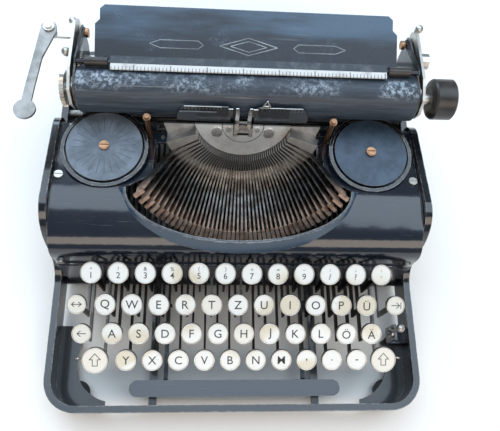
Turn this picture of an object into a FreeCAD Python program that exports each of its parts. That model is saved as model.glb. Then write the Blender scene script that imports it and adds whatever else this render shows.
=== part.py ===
import FreeCAD, Part
import math
import os
import Sketcher

# A portable typewriter. X runs to the typist's right, Y away from the typist, Z up.
# The origin is on the table, under the middle of the body's footprint.

doc = FreeCAD.newDocument("typewriter")
Vec = FreeCAD.Vector
Turn = FreeCAD.Rotation
Place = FreeCAD.Placement
AXIS_X = Vec(1, 0, 0)
AXIS_Y = Vec(0, 1, 0)
AXIS_Z = Vec(0, 0, 1)

SIZES = [
    # body
    ("body_width", 280.0),
    ("body_depth", 284.0),
    ("foot_height", 8.0),
    ("foot_radius", 9.0),
    ("wall", 2.4),
    ("corner_radius", 24.0),
    ("rim_width", 5.0),
    ("rim_drop", 3.5),
    ("rim_height", 38.0),
    ("crest_height", 101.0),
    ("crest_back", 0.0),
    ("fin_height", 90.0),
    ("fin_back", 73.0),
    ("rear_height", 72.0),
    ("cover_drop", 4.5),
    ("cover_sheet", 1.6),
    ("cover_front", 36.5),
    ("lip_half_width", 84.0),
    ("lip_half_depth", 41.0),
    ("lip_centre", 9.0),
    ("lip_wall", 2.2),
    ("lip_height", 12.0),
    ("loose_gap", 0.3),
    ("running_gap", 0.05),
    # keyboard
    ("key_pitch", 19.05),
    ("key_radius", 7.7),
    ("key_ring_wall", 0.8),
    ("key_ring_height", 3.4),
    ("key_tilt", 22.0),
    ("row_number_y", -47.7),
    ("row_number_z", 75.0),
    ("row_upper_y", -68.2),
    ("row_upper_z", 64.0),
    ("row_home_y", -87.4),
    ("row_home_z", 54.0),
    ("row_lower_y", -105.0),
    ("row_lower_z", 42.0),
    ("lever_sheet", 1.6),
    ("lever_depth", 6.0),
    ("lever_bottom", 21.0),
    ("lever_shaft_y", 96.0),
    ("lever_shaft_radius", 2.0),
    ("shift_key_radius", 9.5),
    ("space_length", 159.0),
    ("space_width", 12.0),
    ("space_height", 8.0),
    ("space_y", -125.0),
    ("space_z", 22.0),
    # type basket
    ("print_x", 1.7),
    ("print_gap", 0.5),
    ("basket_lean", 65.0),
    ("basket_front", 6.8),
    ("pivot_radius", 51.0),
    ("pivot_drop", 2.0),
    ("bar_count", 44.0),
    ("bar_pitch", 2.15),
    ("bar_sheet", 1.2),
    ("bar_width", 3.6),
    ("slot_gap", 0.1),
    ("segment_inner", 36.5),
    ("segment_outer", 59.0),
    ("segment_thick", 12.0),
    ("pivot_wire", 0.9),
    ("strike_angle", 134.0),
    ("key_travel", 11.0),
    # ribbon
    ("spool_x", 99.0),
    ("spool_y", 41.0),
    ("spool_radius", 27.5),
    ("spool_top", 98.0),
    ("spool_height", 14.0),
    ("cup_gap", 1.5),
    # carriage
    ("carriage_offset", 5.7),
    ("platen_radius", 16.5),
    ("platen_length", 243.0),
    ("platen_y", 76.0),
    ("platen_z", 118.5),
    ("platen_shaft", 4.0),
    ("shift_lift", 6.5),
    ("knob_radius", 15.0),
    ("knob_length", 17.5),
    ("rail_radius", 4.0),
    ("rail_front_y", 86.0),
    ("rail_rear_y", 112.0),
    ("rail_z", 64.0),
    ("end_sheet", 2.0),
    ("cheek_sheet", 1.4),
    ("table_width", 228.0),
    ("bed_z", 75.0),
    ("bed_sheet", 3.0),
]


class Size:
    """A number kept together with the sheet formula that gives it."""

    def __init__(self, value, text):
        self.value = value
        self.text = text

    def __add__(self, other):
        return joined(self, "+", other)

    def __radd__(self, other):
        return joined(other, "+", self)

    def __sub__(self, other):
        return joined(self, "-", other)

    def __rsub__(self, other):
        return joined(other, "-", self)

    def __mul__(self, other):
        return joined(self, "*", other)

    def __rmul__(self, other):
        return joined(other, "*", self)

    def __truediv__(self, other):
        return joined(self, "/", other)

    def __neg__(self):
        return joined(0.0, "-", self)


def sized(number):
    if isinstance(number, Size):
        return number
    return Size(float(number), "%.6f" % number if number >= 0 else "(%.6f)" % number)


def joined(left, sign, right):
    a = sized(left)
    b = sized(right)
    value = {"+": a.value + b.value, "-": a.value - b.value, "*": a.value * b.value}.get(sign)
    if sign == "/":
        value = a.value / b.value
    return Size(value, "(%s %s %s)" % (a.text, sign, b.text))


def make_sheet():
    sheet = doc.addObject("Spreadsheet::Sheet", "Sizes")
    found = {}
    for row, (name, number) in enumerate(SIZES, start=1):
        sheet.set("A%d" % row, name)
        sheet.set("B%d" % row, str(number))
        sheet.setAlias("B%d" % row, name)
        found[name] = Size(number, "Sizes.%s" % name)
    doc.recompute()
    return found


S = make_sheet()
N = {name: size.value for name, size in S.items()}
nodes = []


def keep(item, label):
    """Give a sub-part its name and put it on the list of pieces to write."""
    item.Label = label
    nodes.append(item)
    return item


def put(item, x=0, y=0, z=0, rotation=None):
    item.Placement = Place(Vec(sized(x).value, sized(y).value, sized(z).value), rotation or Turn())
    for letter, number in (("x", x), ("y", y), ("z", z)):
        if isinstance(number, Size):
            item.setExpression("Placement.Base.%s" % letter, number.text)
    return item


def bind(item, name, number):
    size = sized(number)
    setattr(item, name, size.value)
    if isinstance(number, Size):
        item.setExpression(name, size.text)


# ---- helpers for parts made of primitives ----

def box(name, length, width, height, x, y, z):
    item = doc.addObject("Part::Box", name)
    bind(item, "Length", length)
    bind(item, "Width", width)
    bind(item, "Height", height)
    return put(item, x, y, z)


def rod(name, radius, length, x, y, z, axis=AXIS_Z):
    item = doc.addObject("Part::Cylinder", name)
    bind(item, "Radius", radius)
    bind(item, "Height", length)
    return put(item, x, y, z, Turn(AXIS_Z, axis))


def fused(name, items):
    item = doc.addObject("Part::MultiFuse", name)
    item.Shapes = items
    return item


# ---- helpers for parts made of sketches ----

def plane(body, role):
    for feature in body.Origin.OriginFeatures:
        if feature.Role == role:
            return feature


def new_sketch(body, role, name):
    sketch = body.newObject("Sketcher::SketchObject", name)
    sketch.AttachmentSupport = (plane(body, role), [""])
    sketch.MapMode = "FlatFace"
    return sketch


def hold(sketch, kind, geometry, point, number):
    """Fix one coordinate of a sketch point, as a distance from the sketch's origin."""
    size = sized(number)
    if abs(size.value) < 1e-9:
        axis = -2 if kind == "DistanceX" else -1
        sketch.addConstraint(Sketcher.Constraint("PointOnObject", geometry, point, axis))
        return
    index = sketch.addConstraint(Sketcher.Constraint(kind, -1, 1, geometry, point, size.value))
    if isinstance(number, Size):
        sketch.setExpression("Constraints[%d]" % index, size.text)


def draw_polygon(sketch, points):
    spots = [Vec(sized(x).value, sized(y).value, 0) for x, y in points]
    first = sketch.GeometryCount
    count = len(spots)
    for i in range(count):
        sketch.addGeometry(Part.LineSegment(spots[i], spots[(i + 1) % count]))
    for i in range(count):
        link = (first + i, 2, first + (i + 1) % count, 1)
        sketch.addConstraint(Sketcher.Constraint("Coincident", *link))
    for i, (x, y) in enumerate(points):
        hold(sketch, "DistanceX", first + i, 1, x)
        hold(sketch, "DistanceY", first + i, 1, y)


def draw_circle(sketch, x, y, radius):
    size = sized(radius)
    spot = Vec(sized(x).value, sized(y).value, 0)
    index = sketch.addGeometry(Part.Circle(spot, AXIS_Z, size.value))
    hold(sketch, "DistanceX", index, 3, x)
    hold(sketch, "DistanceY", index, 3, y)
    mark = sketch.addConstraint(Sketcher.Constraint("Radius", index, size.value))
    if isinstance(radius, Size):
        sketch.setExpression("Constraints[%d]" % mark, size.text)


def plate(label, role, outline, thick, holes=(), middle=False):
    """A flat piece: an outline with round holes, padded to its thickness."""
    body = doc.addObject("PartDesign::Body", label + "_body")
    sketch = new_sketch(body, role, label + "_outline")
    draw_polygon(sketch, outline)
    for x, y, radius in holes:
        draw_circle(sketch, x, y, radius)
    pad = body.newObject("PartDesign::Pad", label + "_pad")
    pad.Profile = sketch
    bind(pad, "Length", thick)
    pad.Midplane = middle
    return keep(body, label)


def turned(label, outline):
    """A round piece: its half section, as radius and height, turned about Z."""
    body = doc.addObject("PartDesign::Body", label + "_body")
    sketch = new_sketch(body, "XZ_Plane", label + "_section")
    draw_polygon(sketch, outline)
    spin = body.newObject("PartDesign::Revolution", label + "_turn")
    spin.Profile = sketch
    spin.ReferenceAxis = (sketch, ["V_Axis"])
    spin.Angle = 360.0
    return keep(body, label)


# ---- helpers for shapes set directly ----

def shaped(label, shape):
    item = doc.addObject("Part::Feature", label + "_shape")
    spot = shape.Placement
    item.Shape = shape
    item.Placement = spot
    return keep(item, label)


def polygon_face(points):
    spots = [Vec(*p) for p in points]
    return Part.Face(Part.makePolygon(spots + [spots[0]]))


def slab_x(points, x0, thick):
    """A prism along X from an outline of y, z points."""
    face = polygon_face([(x0, y, z) for y, z in points])
    return face.extrude(Vec(thick, 0, 0))


def slab_z(points, z0, thick):
    """A prism along Z from an outline of x, y points."""
    face = polygon_face([(x, y, z0) for x, y in points])
    return face.extrude(Vec(0, 0, thick))


def round_block(width, depth, radius, z0, z1):
    block = Part.makeBox(width, depth, z1 - z0, Vec(-width / 2, -depth / 2, z0))
    upright = [e for e in block.Edges if abs(e.BoundBox.ZLength - (z1 - z0)) < 1e-6]
    return block.makeFillet(radius, upright)


def spline_wire(points):
    curve = Part.BSplineCurve()
    curve.interpolate([Vec(*p) for p in points])
    return curve.toShape()


def fuse_all(shapes):
    return shapes[0].multiFuse(shapes[1:]).removeSplitter()


# ---- body shell ----

def cheek_profile(drop):
    """The side wall's top edge: low beside the keys, an S-curve to the crest, a rounded fin."""
    front = -N["body_depth"] / 2 - 5
    back = N["body_depth"] / 2 + 5
    low = N["rim_height"] - drop
    crest = N["crest_height"] - drop
    fin = N["fin_height"] - drop
    c = N["crest_back"]
    b = N["fin_back"]
    rise = crest - low
    curve = spline_wire([
        (0, c - 48, low),
        (0, c - 38, low + rise * 0.06),
        (0, c - 29, low + rise * 0.36),
        (0, c - 23, low + rise * 0.72),
        (0, c - 13, low + rise * 0.94),
        (0, c, crest),
    ])
    top = Part.makeLine(Vec(0, c, crest), Vec(0, b - 12, fin + 1.5))
    nose = Part.Arc(
        Vec(0, b - 12, fin + 1.5),
        Vec(0, b - 2.5, fin - 4.5),
        Vec(0, b, fin - 13),
    ).toShape()
    rear = N["rear_height"] - drop
    rest = Part.makePolygon([
        Vec(0, b, fin - 13),
        Vec(0, b, rear),
        Vec(0, back, rear),
        Vec(0, back, -5),
        Vec(0, front, -5),
        Vec(0, front, low),
        Vec(0, c - 48, low),
    ])
    wire = Part.Wire([curve, top, nose] + rest.Edges)
    wide = N["body_width"] + 20
    face = Part.Face(wire)
    solid = face.extrude(Vec(wide, 0, 0))
    solid.translate(Vec(-wide / 2, 0, 0))
    return solid


def frame_shape():
    w = N["body_width"]
    d = N["body_depth"]
    r = N["corner_radius"]
    z0 = N["foot_height"]
    z1 = N["crest_height"] + 10
    outer = round_block(w, d, r, z0, z1)
    t = N["wall"]
    inner = round_block(w - 2 * t, d - 2 * t, r - t, z0 - 1, z1 + 1)
    shell = outer.cut(inner).common(cheek_profile(0))
    t = N["rim_width"]
    core = round_block(w - 2 * t, d - 2 * t, r - t, z0 - 1, z1 + 1)
    band = outer.cut(core).common(cheek_profile(0).cut(cheek_profile(N["rim_drop"])))
    return shell.fuse(band).removeSplitter()


base_frame = shaped("base_frame", frame_shape())

inside = S["body_width"] / 2 - S["wall"]


def cross_bar(y, depth):
    """A flat bar from wall to wall, its ends following the shell's rounded corners."""
    half = N["body_width"] / 2 - N["wall"]
    bar = Part.makeBox(2 * half, depth, 3, Vec(-half, y, N["foot_height"]))
    t = 2 * N["wall"] + 0.04
    z = N["foot_height"]
    r = N["corner_radius"] - N["wall"] - 0.02
    return bar.common(round_block(N["body_width"] - t, N["body_depth"] - t, r, z - 1, z + 5))


def gusset(side):
    """A corner plate with a scalloped inner edge."""
    x = N["body_width"] / 2 - N["wall"]
    y = -N["body_depth"] / 2 + N["wall"]
    r = N["corner_radius"] - N["wall"]
    z = N["foot_height"]
    plate_shape = Part.makeBox(38, 64, 2, Vec(x - 38, y, z))
    corner = Part.makeBox(r, r, 4, Vec(x - r, y, z - 1))
    corner = corner.cut(Part.makeCylinder(r, 6, Vec(x - r, y + r, z - 2)))
    scoop = Part.makeCylinder(30, 6, Vec(x - 44, y + 36, z - 2))
    scoop2 = Part.makeCylinder(16, 6, Vec(x - 24, y + 66, z - 2))
    shape = plate_shape.cut(corner).cut(scoop).cut(scoop2)
    if side < 0:
        shape = shape.mirror(Vec(0, 0, 0), AXIS_X)
    return shape


def strap(x):
    y = -N["body_depth"] / 2 + N["wall"]
    return Part.makeBox(6, COMB_BAR_Y - y, 2, Vec(x - 3, y, N["foot_height"]))


def frame_bars_shape():
    """Everything flat that ties the shell together underneath, with the two rear posts."""
    deck = N["foot_height"] + 3
    parts = [
        cross_bar(COMB_BAR_Y, 6).Solids[0],
        cross_bar(BELL_Y - 9, 18).Solids[0],
        gusset(1).Solids[0],
        gusset(-1).Solids[0],
        strap(-63.5),
        strap(63.5),
        Part.makeCylinder(2.5, BELL_Z + 16.5 - deck, Vec(BELL_X, BELL_Y, deck)),
        Part.makeCylinder(4.0, DRUM_Z - deck, Vec(DRUM_X, DRUM_Y, deck)),
    ]
    return Part.makeCompound(parts)


COMB_BAR_Y = -N["cover_front"] - 4.5
BELL_X = -60.0
BELL_Y = N["body_depth"] / 2 - 21
BELL_Z = 26.0
DRUM_X = -N["body_width"] / 2 + 35
DRUM_Y = BELL_Y - 3
DRUM_Z = 36.0
shaped("frame_bars", frame_bars_shape())


def feet_shape():
    feet = []
    x = N["body_width"] / 2 - N["wall"] - N["foot_radius"] - 8
    y = N["body_depth"] / 2 - N["wall"] - N["foot_radius"] - 4
    for sx in (-1, 1):
        for sy in (-1, 1):
            h = N["foot_height"]
            foot = Part.makeCone(N["foot_radius"] - 1.5, N["foot_radius"], h, Vec(sx * x, sy * y, 0))
            feet.append(foot)
    return Part.makeCompound(feet)


shaped("rubber_feet", feet_shape())


# ---- top cover ----

def cover_points(sink):
    """The cover's side view: an upright apron, a rounded shoulder, a deck that falls to the rear."""
    front = -N["cover_front"]
    top = N["crest_height"] - N["cover_drop"] - sink
    c = N["crest_back"]
    fall = (N["crest_height"] - N["fin_height"]) / (N["fin_back"] - c)
    back = N["fin_back"] - 7
    return [
        (0, front + sink, top - 40),
        (0, front + sink, top - 26),
        (0, front + 1.5 + sink * 0.8, top - 16),
        (0, front + 7.5 + sink * 0.4, top - 8.6),
        (0, c - 15, top - 3),
        (0, c, top),
        (0, c + 20, top - 20 * fall),
        (0, c + 45, top - 45 * fall),
        (0, back, top - (back - c) * fall),
    ]


def cover_sheet_shape():
    upper = cover_points(0)
    lower = cover_points(N["cover_sheet"])
    half = N["body_width"] / 2 - N["rim_width"] - N["loose_gap"]
    edges = [
        spline_wire(upper),
        Part.makeLine(Vec(*upper[-1]), Vec(*lower[-1])),
        spline_wire(lower),
        Part.makeLine(Vec(*lower[0]), Vec(*upper[0])),
    ]
    face = Part.Face(Part.Wire(Part.__sortEdges__(edges)))
    sheet = face.extrude(Vec(2 * half, 0, 0))
    sheet.translate(Vec(-half, 0, 0))
    return sheet


def half_oval(half_width, half_depth, centre, z0, z1):
    oval = Part.Ellipse(Vec(0, centre, z0), half_width, half_depth)
    face = Part.Face(Part.Wire(oval.toShape()))
    block = face.extrude(Vec(0, 0, z1 - z0))
    front = Part.makeBox(400, 200, z1 - z0 + 2, Vec(-200, centre - 200, z0 - 1))
    return block.common(front)


def basket_hole():
    gap = N["loose_gap"]
    a = N["lip_half_width"] + gap
    b = N["lip_half_depth"] + gap
    c = N["lip_centre"]
    oval = half_oval(a, b, c, 40, 140)
    back = N["fin_back"] + 5
    tail = slab_z([(-a, c - 0.5), (a, c - 0.5), (64, c + 12), (62, back), (-62, back), (-64, c + 12)], 40, 100)
    return oval.fuse(tail)


def top_cover_shape():
    shape = cover_sheet_shape().cut(basket_hole())
    r = N["spool_radius"] + N["cup_gap"] + 1 + N["loose_gap"]
    for side in (-1, 1):
        well = Part.makeCylinder(r, 100, Vec(side * N["spool_x"], N["spool_y"], 40))
        notch = Part.makeBox(10.7, 7, 100, Vec(side * (POST_X - 2.65) - 5.35, POST_Y - 3.5, 40))
        shape = shape.cut(well).cut(notch)
    return shape


POST_X = N["spool_x"] - 31.5
POST_Y = N["platen_y"] - N["platen_radius"] - 4.0


shaped("top_cover", top_cover_shape())


def lip_shape():
    a = N["lip_half_width"]
    b = N["lip_half_depth"]
    t = N["lip_wall"]
    c = N["lip_centre"]
    top = N["crest_height"] - N["cover_drop"] + 0.5
    low = top - 20
    ring = half_oval(a, b, c, low, top).cut(half_oval(a - t, b - t, c, low - 1, top + 1))
    return ring


shaped("basket_lip", lip_shape())


def spool_cup(side):
    inner = N["spool_radius"] + N["cup_gap"]
    floor = N["spool_top"] - N["spool_height"] - 3.0
    top = N["spool_top"] - 1.1
    spot = Vec(side * N["spool_x"], N["spool_y"], floor)
    cup = Part.makeCylinder(inner + 1.0, top - floor, spot)
    lip = Part.makeCylinder(inner + 2.6, 1.0, spot + Vec(0, 0, top - floor - 1.0))
    hollow = Part.makeCylinder(inner, top - floor, spot + Vec(0, 0, 1.2))
    bore = Part.makeCylinder(2.9 + N["running_gap"], 4, spot - Vec(0, 0, 1))
    return cup.fuse(lip).cut(hollow).cut(bore)


shaped("spool_cups", Part.makeCompound([spool_cup(-1), spool_cup(1)]))


def cover_screws_shape():
    half = N["body_width"] / 2 - N["rim_width"] - N["loose_gap"] - 4.5
    top = N["crest_height"] - N["cover_drop"]
    fall = (N["crest_height"] - N["fin_height"]) / (N["fin_back"] - N["crest_back"])
    screws = []
    for side in (-1, 1):
        head = Part.makeCylinder(3.2, 1.6)
        head = head.cut(Part.makeBox(8, 0.8, 1, Vec(-4, -0.4, 1.0)))
        lean = Turn(AXIS_X, -math.degrees(math.atan(fall)))
        head.Placement = Place(Vec(side * half, 19, top - 19 * fall + 0.35), lean)
        screws.append(head)
        spot = Vec(side * half, -N["cover_front"], top - 33)
        low = Part.makeCylinder(3.2, 1.6, spot, Vec(0, -1, 0))
        screws.append(low)
    return Part.makeCompound(screws)


shaped("cover_screws", cover_screws_shape())


# ---- keys and key levers ----

ROWS = {
    "numbers": ("row_number_y", "row_number_z", -5.5, 12),
    "upper": ("row_upper_y", "row_upper_z", -5.0, 11),
    "home": ("row_home_y", "row_home_z", -4.75, 11),
    "lower": ("row_lower_y", "row_lower_z", -4.25, 10),
}
LIVE = [("home", 5), ("upper", 4)]


def key_spots(row):
    y_name, z_name, first, count = ROWS[row]
    return [((first + i) * N["key_pitch"], N[y_name], N[z_name]) for i in range(count)]


def key_place(spot):
    return Place(Vec(*spot), Turn(AXIS_X, N["key_tilt"]))


def key_ring(spot, radius):
    h = N["key_ring_height"]
    cup = Part.makeCylinder(radius, h)
    cup = cup.cut(Part.makeCylinder(radius - N["key_ring_wall"], h, Vec(0, 0, 1.0)))
    cup = cup.makeFillet(0.3, [e for e in cup.Edges if e.BoundBox.ZMin > h - 0.1])
    cup.Placement = key_place(spot)
    return cup


def key_top(spot, radius):
    inner = radius - N["key_ring_wall"] - N["running_gap"]
    disc = Part.makeCylinder(inner, N["key_ring_height"] - 1.5, Vec(0, 0, 1.0))
    disc.Placement = key_place(spot)
    return disc


def key_lever(spot):
    """One lever: a flat strip on the shaft, with an upright stem whose top meets the tilted key."""
    x, y, z = spot
    low = N["lever_bottom"]
    high = low + N["lever_depth"]
    back = N["lever_shaft_y"] + 6
    slope = math.tan(math.radians(N["key_tilt"]))
    outline = [
        (y - 2, low),
        (back, low),
        (back, high),
        (y + 2, high),
        (y + 2, z + 2 * slope),
        (y - 2, z - 2 * slope),
    ]
    strip = slab_x(outline, x - N["lever_sheet"] / 2, N["lever_sheet"])
    r = N["lever_shaft_radius"] + N["running_gap"]
    centre = Vec(x - 5, N["lever_shaft_y"], low + N["lever_depth"] / 2)
    return strip.cut(Part.makeCylinder(r, 10, centre, AXIS_X))


def still_spots(row):
    spots = key_spots(row)
    return [s for i, s in enumerate(spots) if (row, i) not in LIVE]


def all_spots():
    found = []
    for row in ROWS:
        found += key_spots(row)
    return sorted(found)


still = [s for row in ROWS for s in still_spots(row)]
shaped("key_tops", Part.makeCompound([key_top(s, N["key_radius"]) for s in still]))
shaped("key_rings", Part.makeCompound([key_ring(s, N["key_radius"]) for s in still]))
shaped("key_levers", Part.makeCompound([key_lever(s) for s in still]))
LIVE_NAMES = ["h", "t"]
for name, (row, index) in zip(LIVE_NAMES, LIVE):
    spot = key_spots(row)[index]
    metal = key_lever(spot).fuse(key_ring(spot, N["key_radius"]))
    shaped("key_" + name, Part.makeCompound([metal, key_top(spot, N["key_radius"])]))

lever_shaft = rod(
    "lever_shaft",
    S["lever_shaft_radius"],
    inside * 2,
    -inside,
    S["lever_shaft_y"],
    S["lever_bottom"] + S["lever_depth"] / 2,
    AXIS_X,
)
keep(lever_shaft, "lever_shaft")


# label, column in key pitches, how far the lever stands off the key's middle, row, radius
SIDE_KEYS = [
    ("margin_key", -6.05, 0.0, "row_upper_y", "row_upper_z", 7.0),
    ("back_key", -5.88, 0.0, "row_home_y", "row_home_z", 7.0),
    ("tab_key", 6.14, 0.0, "row_upper_y", "row_upper_z", 7.0),
    ("shift_key_left", -5.42, 3.4, "row_lower_y", "row_lower_z", N["shift_key_radius"]),
    ("shift_key_right", 5.82, 0.0, "row_lower_y", "row_lower_z", N["shift_key_radius"]),
]


def comb_shape():
    """An upright bar with one open slot for each lever."""
    half = N["body_width"] / 2 - N["rim_width"] - N["loose_gap"]
    low = N["foot_height"] + 3
    top = N["crest_height"] - N["cover_drop"] - 40 - N["loose_gap"]
    y = COMB_BAR_Y + 2.7
    bar = Part.makeBox(2 * half, 1.5, top - low, Vec(-half, y, low))
    cuts = []
    wide = N["lever_sheet"] + 0.6
    columns = [x for x, _, _ in all_spots()]
    columns += [column * N["key_pitch"] + aside for _, column, aside, _, _, _ in SIDE_KEYS]
    for x in columns:
        high = N["lever_bottom"] + N["lever_depth"] + 1
        cuts.append(Part.makeBox(wide, 4, high - low - 1, Vec(x - wide / 2, y - 1, low + 1)))
    return bar.cut(Part.makeCompound(cuts))


shaped("key_comb", comb_shape())


def side_key(column, aside, row_y, row_z, radius):
    """A side key on its own short lever, with its top disc in a metal cup."""
    x = column * N["key_pitch"]
    spot = (x, row_y, row_z)
    x = x + aside
    ring = key_ring(spot, radius)
    slope = math.tan(math.radians(N["key_tilt"]))
    low = N["lever_bottom"]
    high = low + N["lever_depth"]
    outline = [
        (row_y - 2, low),
        (N["lever_shaft_y"] + 6, low),
        (N["lever_shaft_y"] + 6, high),
        (row_y + 2, high),
        (row_y + 2, row_z + 2 * slope),
        (row_y - 2, row_z - 2 * slope),
    ]
    strip = slab_x(outline, x - N["lever_sheet"] / 2, N["lever_sheet"])
    r = N["lever_shaft_radius"] + N["running_gap"]
    centre = Vec(x - 5, N["lever_shaft_y"], low + N["lever_depth"] / 2)
    strip = strip.cut(Part.makeCylinder(r, 10, centre, AXIS_X))
    return [strip.fuse(ring), key_top(spot, radius)]


side_parts = {}
for label, column, aside, y_name, z_name, radius in SIDE_KEYS:
    side_parts[label] = side_key(column, aside, N[y_name], N[z_name], radius)
for label in ("margin_key", "back_key", "tab_key"):
    shaped(label, Part.makeCompound(side_parts[label]))
shaped("shift_keys", Part.makeCompound(side_parts["shift_key_left"] + side_parts["shift_key_right"]))

# ---- space bar ----

bar_half = S["space_length"] / 2
space_cap = box("space_cap", S["space_length"] - S["space_width"], S["space_width"], S["space_height"],
                -bar_half + S["space_width"] / 2, S["space_y"] - S["space_width"] / 2, S["space_z"])
space_left = rod("space_left", S["space_width"] / 2, S["space_height"],
                 -bar_half + S["space_width"] / 2, S["space_y"], S["space_z"])
space_right = rod("space_right", S["space_width"] / 2, S["space_height"],
                  bar_half - S["space_width"] / 2, S["space_y"], S["space_z"])
space_bar = fused("space_bar_fuse", [space_cap, space_left, space_right])
keep(space_bar, "space_bar")

ARM_X = 53.5
SPACE_PIVOT_Y = -60.0
SPACE_PIVOT_Z = 16.0


def space_arm(x):
    """A bent strip from the bar's underside back to its pivot."""
    y = N["space_y"]
    z = N["space_z"]
    outline = [
        (y - 3, z),
        (y - 3, z - 4),
        (y + 5, z - 8),
        (SPACE_PIVOT_Y + 4, SPACE_PIVOT_Z - 3),
        (SPACE_PIVOT_Y + 4, SPACE_PIVOT_Z + 3),
        (y + 8, z - 3.5),
        (y + 3, z),
    ]
    strip = slab_x(outline, x - 1.5, 3)
    hole = Part.makeCylinder(1.5 + N["running_gap"], 6, Vec(x - 3, SPACE_PIVOT_Y, SPACE_PIVOT_Z), AXIS_X)
    return strip.cut(hole)


shaped("space_bar_arms", Part.makeCompound([space_arm(-ARM_X), space_arm(ARM_X)]))


def space_bracket(x, side):
    """A small upright on the strap, with the pin that carries the arm."""
    x0 = x + side * 2.0
    foot = Part.makeBox(10, 8, 2, Vec(min(x0, x0 + side * 10), SPACE_PIVOT_Y - 4, N["foot_height"] + 2))
    wall = Part.makeBox(2, 8, 10, Vec(min(x0, x0 + side * 2), SPACE_PIVOT_Y - 4, N["foot_height"] + 2))
    pin = Part.makeCylinder(1.5, 6, Vec(x0 + side * 1.0, SPACE_PIVOT_Y, SPACE_PIVOT_Z), Vec(-side, 0, 0))
    return fuse_all([foot, wall, pin])



# ---- type basket ----

def basket_axes():
    lean = math.radians(N["basket_lean"])
    down = Vec(0, -math.cos(lean), -math.sin(lean))
    out = Vec(0, -math.sin(lean), math.cos(lean))
    return down, out


DOWN, OUT = basket_axes()
PRINT = Vec(N["print_x"], N["platen_y"] - N["platen_radius"] - 0.1, N["platen_z"])
CENTRE = PRINT + OUT * N["basket_front"]


def radial_place(angle):
    """The plane of one typebar: its X runs out from the basket's axis, its Y along the axis."""
    across = AXIS_X * math.sin(angle) + DOWN * math.cos(angle)
    side = across.cross(OUT)
    matrix = FreeCAD.Matrix(
        across.x, OUT.x, side.x, CENTRE.x,
        across.y, OUT.y, side.y, CENTRE.y,
        across.z, OUT.z, side.z, CENTRE.z,
        0, 0, 0, 1,
    )
    return Place(matrix)


def bar_angle(index):
    x = (index - (N["bar_count"] - 1) / 2) * N["bar_pitch"]
    return math.asin(x / (N["pivot_radius"] + 1.7))


def turned_point(point, degrees):
    a = math.radians(degrees)
    px = N["pivot_radius"]
    py = -N["pivot_drop"]
    dx = point[0] - px
    dy = point[1] - py
    return (px + dx * math.cos(a) - dy * math.sin(a), py + dx * math.sin(a) + dy * math.cos(a))


def flat_slab(points, thick):
    face = polygon_face([(x, y, -thick / 2) for x, y in points])
    return face.extrude(Vec(0, 0, thick))


def slug_outline():
    """The type slug at the strike, facing the platen squarely, then turned back to rest."""
    gap = N["print_gap"]
    centre = (-(PRINT - Vec(PRINT.x, N["platen_y"], N["platen_z"])).dot(DOWN),
              -(PRINT - Vec(PRINT.x, N["platen_y"], N["platen_z"])).dot(OUT) - N["basket_front"])
    length = math.hypot(centre[0], centre[1] + N["basket_front"])
    ux = -centre[0] / length
    uy = -(centre[1] + N["basket_front"]) / length
    face = (centre[0] + ux * (N["platen_radius"] + gap), centre[1] + uy * (N["platen_radius"] + gap))
    tx = uy
    ty = -ux
    corners = []
    for along, away in ((-4.0, 0.0), (4.0, 0.0), (4.0, 2.6), (-4.0, 2.6)):
        corners.append((face[0] + tx * along + ux * away, face[1] + ty * along + uy * away))
    return [turned_point(p, -N["strike_angle"]) for p in corners]


def bar_outline():
    r = N["pivot_radius"]
    d = -N["pivot_drop"]
    w = N["bar_width"] / 2
    slug = slug_outline()
    tip_x = (slug[2][0] + slug[3][0]) / 2
    tip_y = (slug[2][1] + slug[3][1]) / 2
    return [
        (r - 3.0, d - 2.6),
        (r + 3.0, d - 2.6),
        (r + 6.0, d + 2.0),
        (r + 14.5, d + 9.0),
        (r + 16.5, d + 11.5),
        (tip_x + w - 0.2, tip_y - 5.0),
        (tip_x + w, tip_y + 1.0),
        (tip_x - w, tip_y + 1.5),
        (r + 12.5, d + 14.0),
        (r + 10.0, d + 11.5),
        (r + 2.6, d + 6.0),
        (r - 3.0, d + 2.6),
    ]


def typebar(index):
    bar = flat_slab(bar_outline(), N["bar_sheet"])
    hole = Part.makeCylinder(
        N["pivot_wire"] + N["running_gap"] + 0.03,
        6,
        Vec(N["pivot_radius"], -N["pivot_drop"], -3),
    )
    bar = bar.cut(hole)
    slug = flat_slab(slug_outline(), 2.5)
    shape = bar.fuse(slug)
    shape.Placement = radial_place(bar_angle(index))
    return shape


def ring_sector(inner, outer, low, high, spread):
    """A thick arc round the basket's axis, open towards the platen."""
    ring = Part.makeCylinder(outer, high - low, Vec(0, 0, low))
    ring = ring.cut(Part.makeCylinder(inner, high - low + 2, Vec(0, 0, low - 1)))
    a = math.radians(spread)
    far = outer * 3
    wedge = polygon_face([
        (0, 0, low - 1),
        (far * math.cos(a), far * math.sin(a), low - 1),
        (-far, far * math.sin(a), low - 1),
        (-far, -far * math.sin(a), low - 1),
        (far * math.cos(a), -far * math.sin(a), low - 1),
    ]).extrude(Vec(0, 0, high - low + 2))
    return ring.cut(wedge)


def basket_place():
    """Local X runs down the basket, local Z along its axis."""
    side = OUT.cross(DOWN)
    matrix = FreeCAD.Matrix(
        DOWN.x, side.x, OUT.x, CENTRE.x,
        DOWN.y, side.y, OUT.y, CENTRE.y,
        DOWN.z, side.z, OUT.z, CENTRE.z,
        0, 0, 0, 1,
    )
    return Place(matrix)


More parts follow.
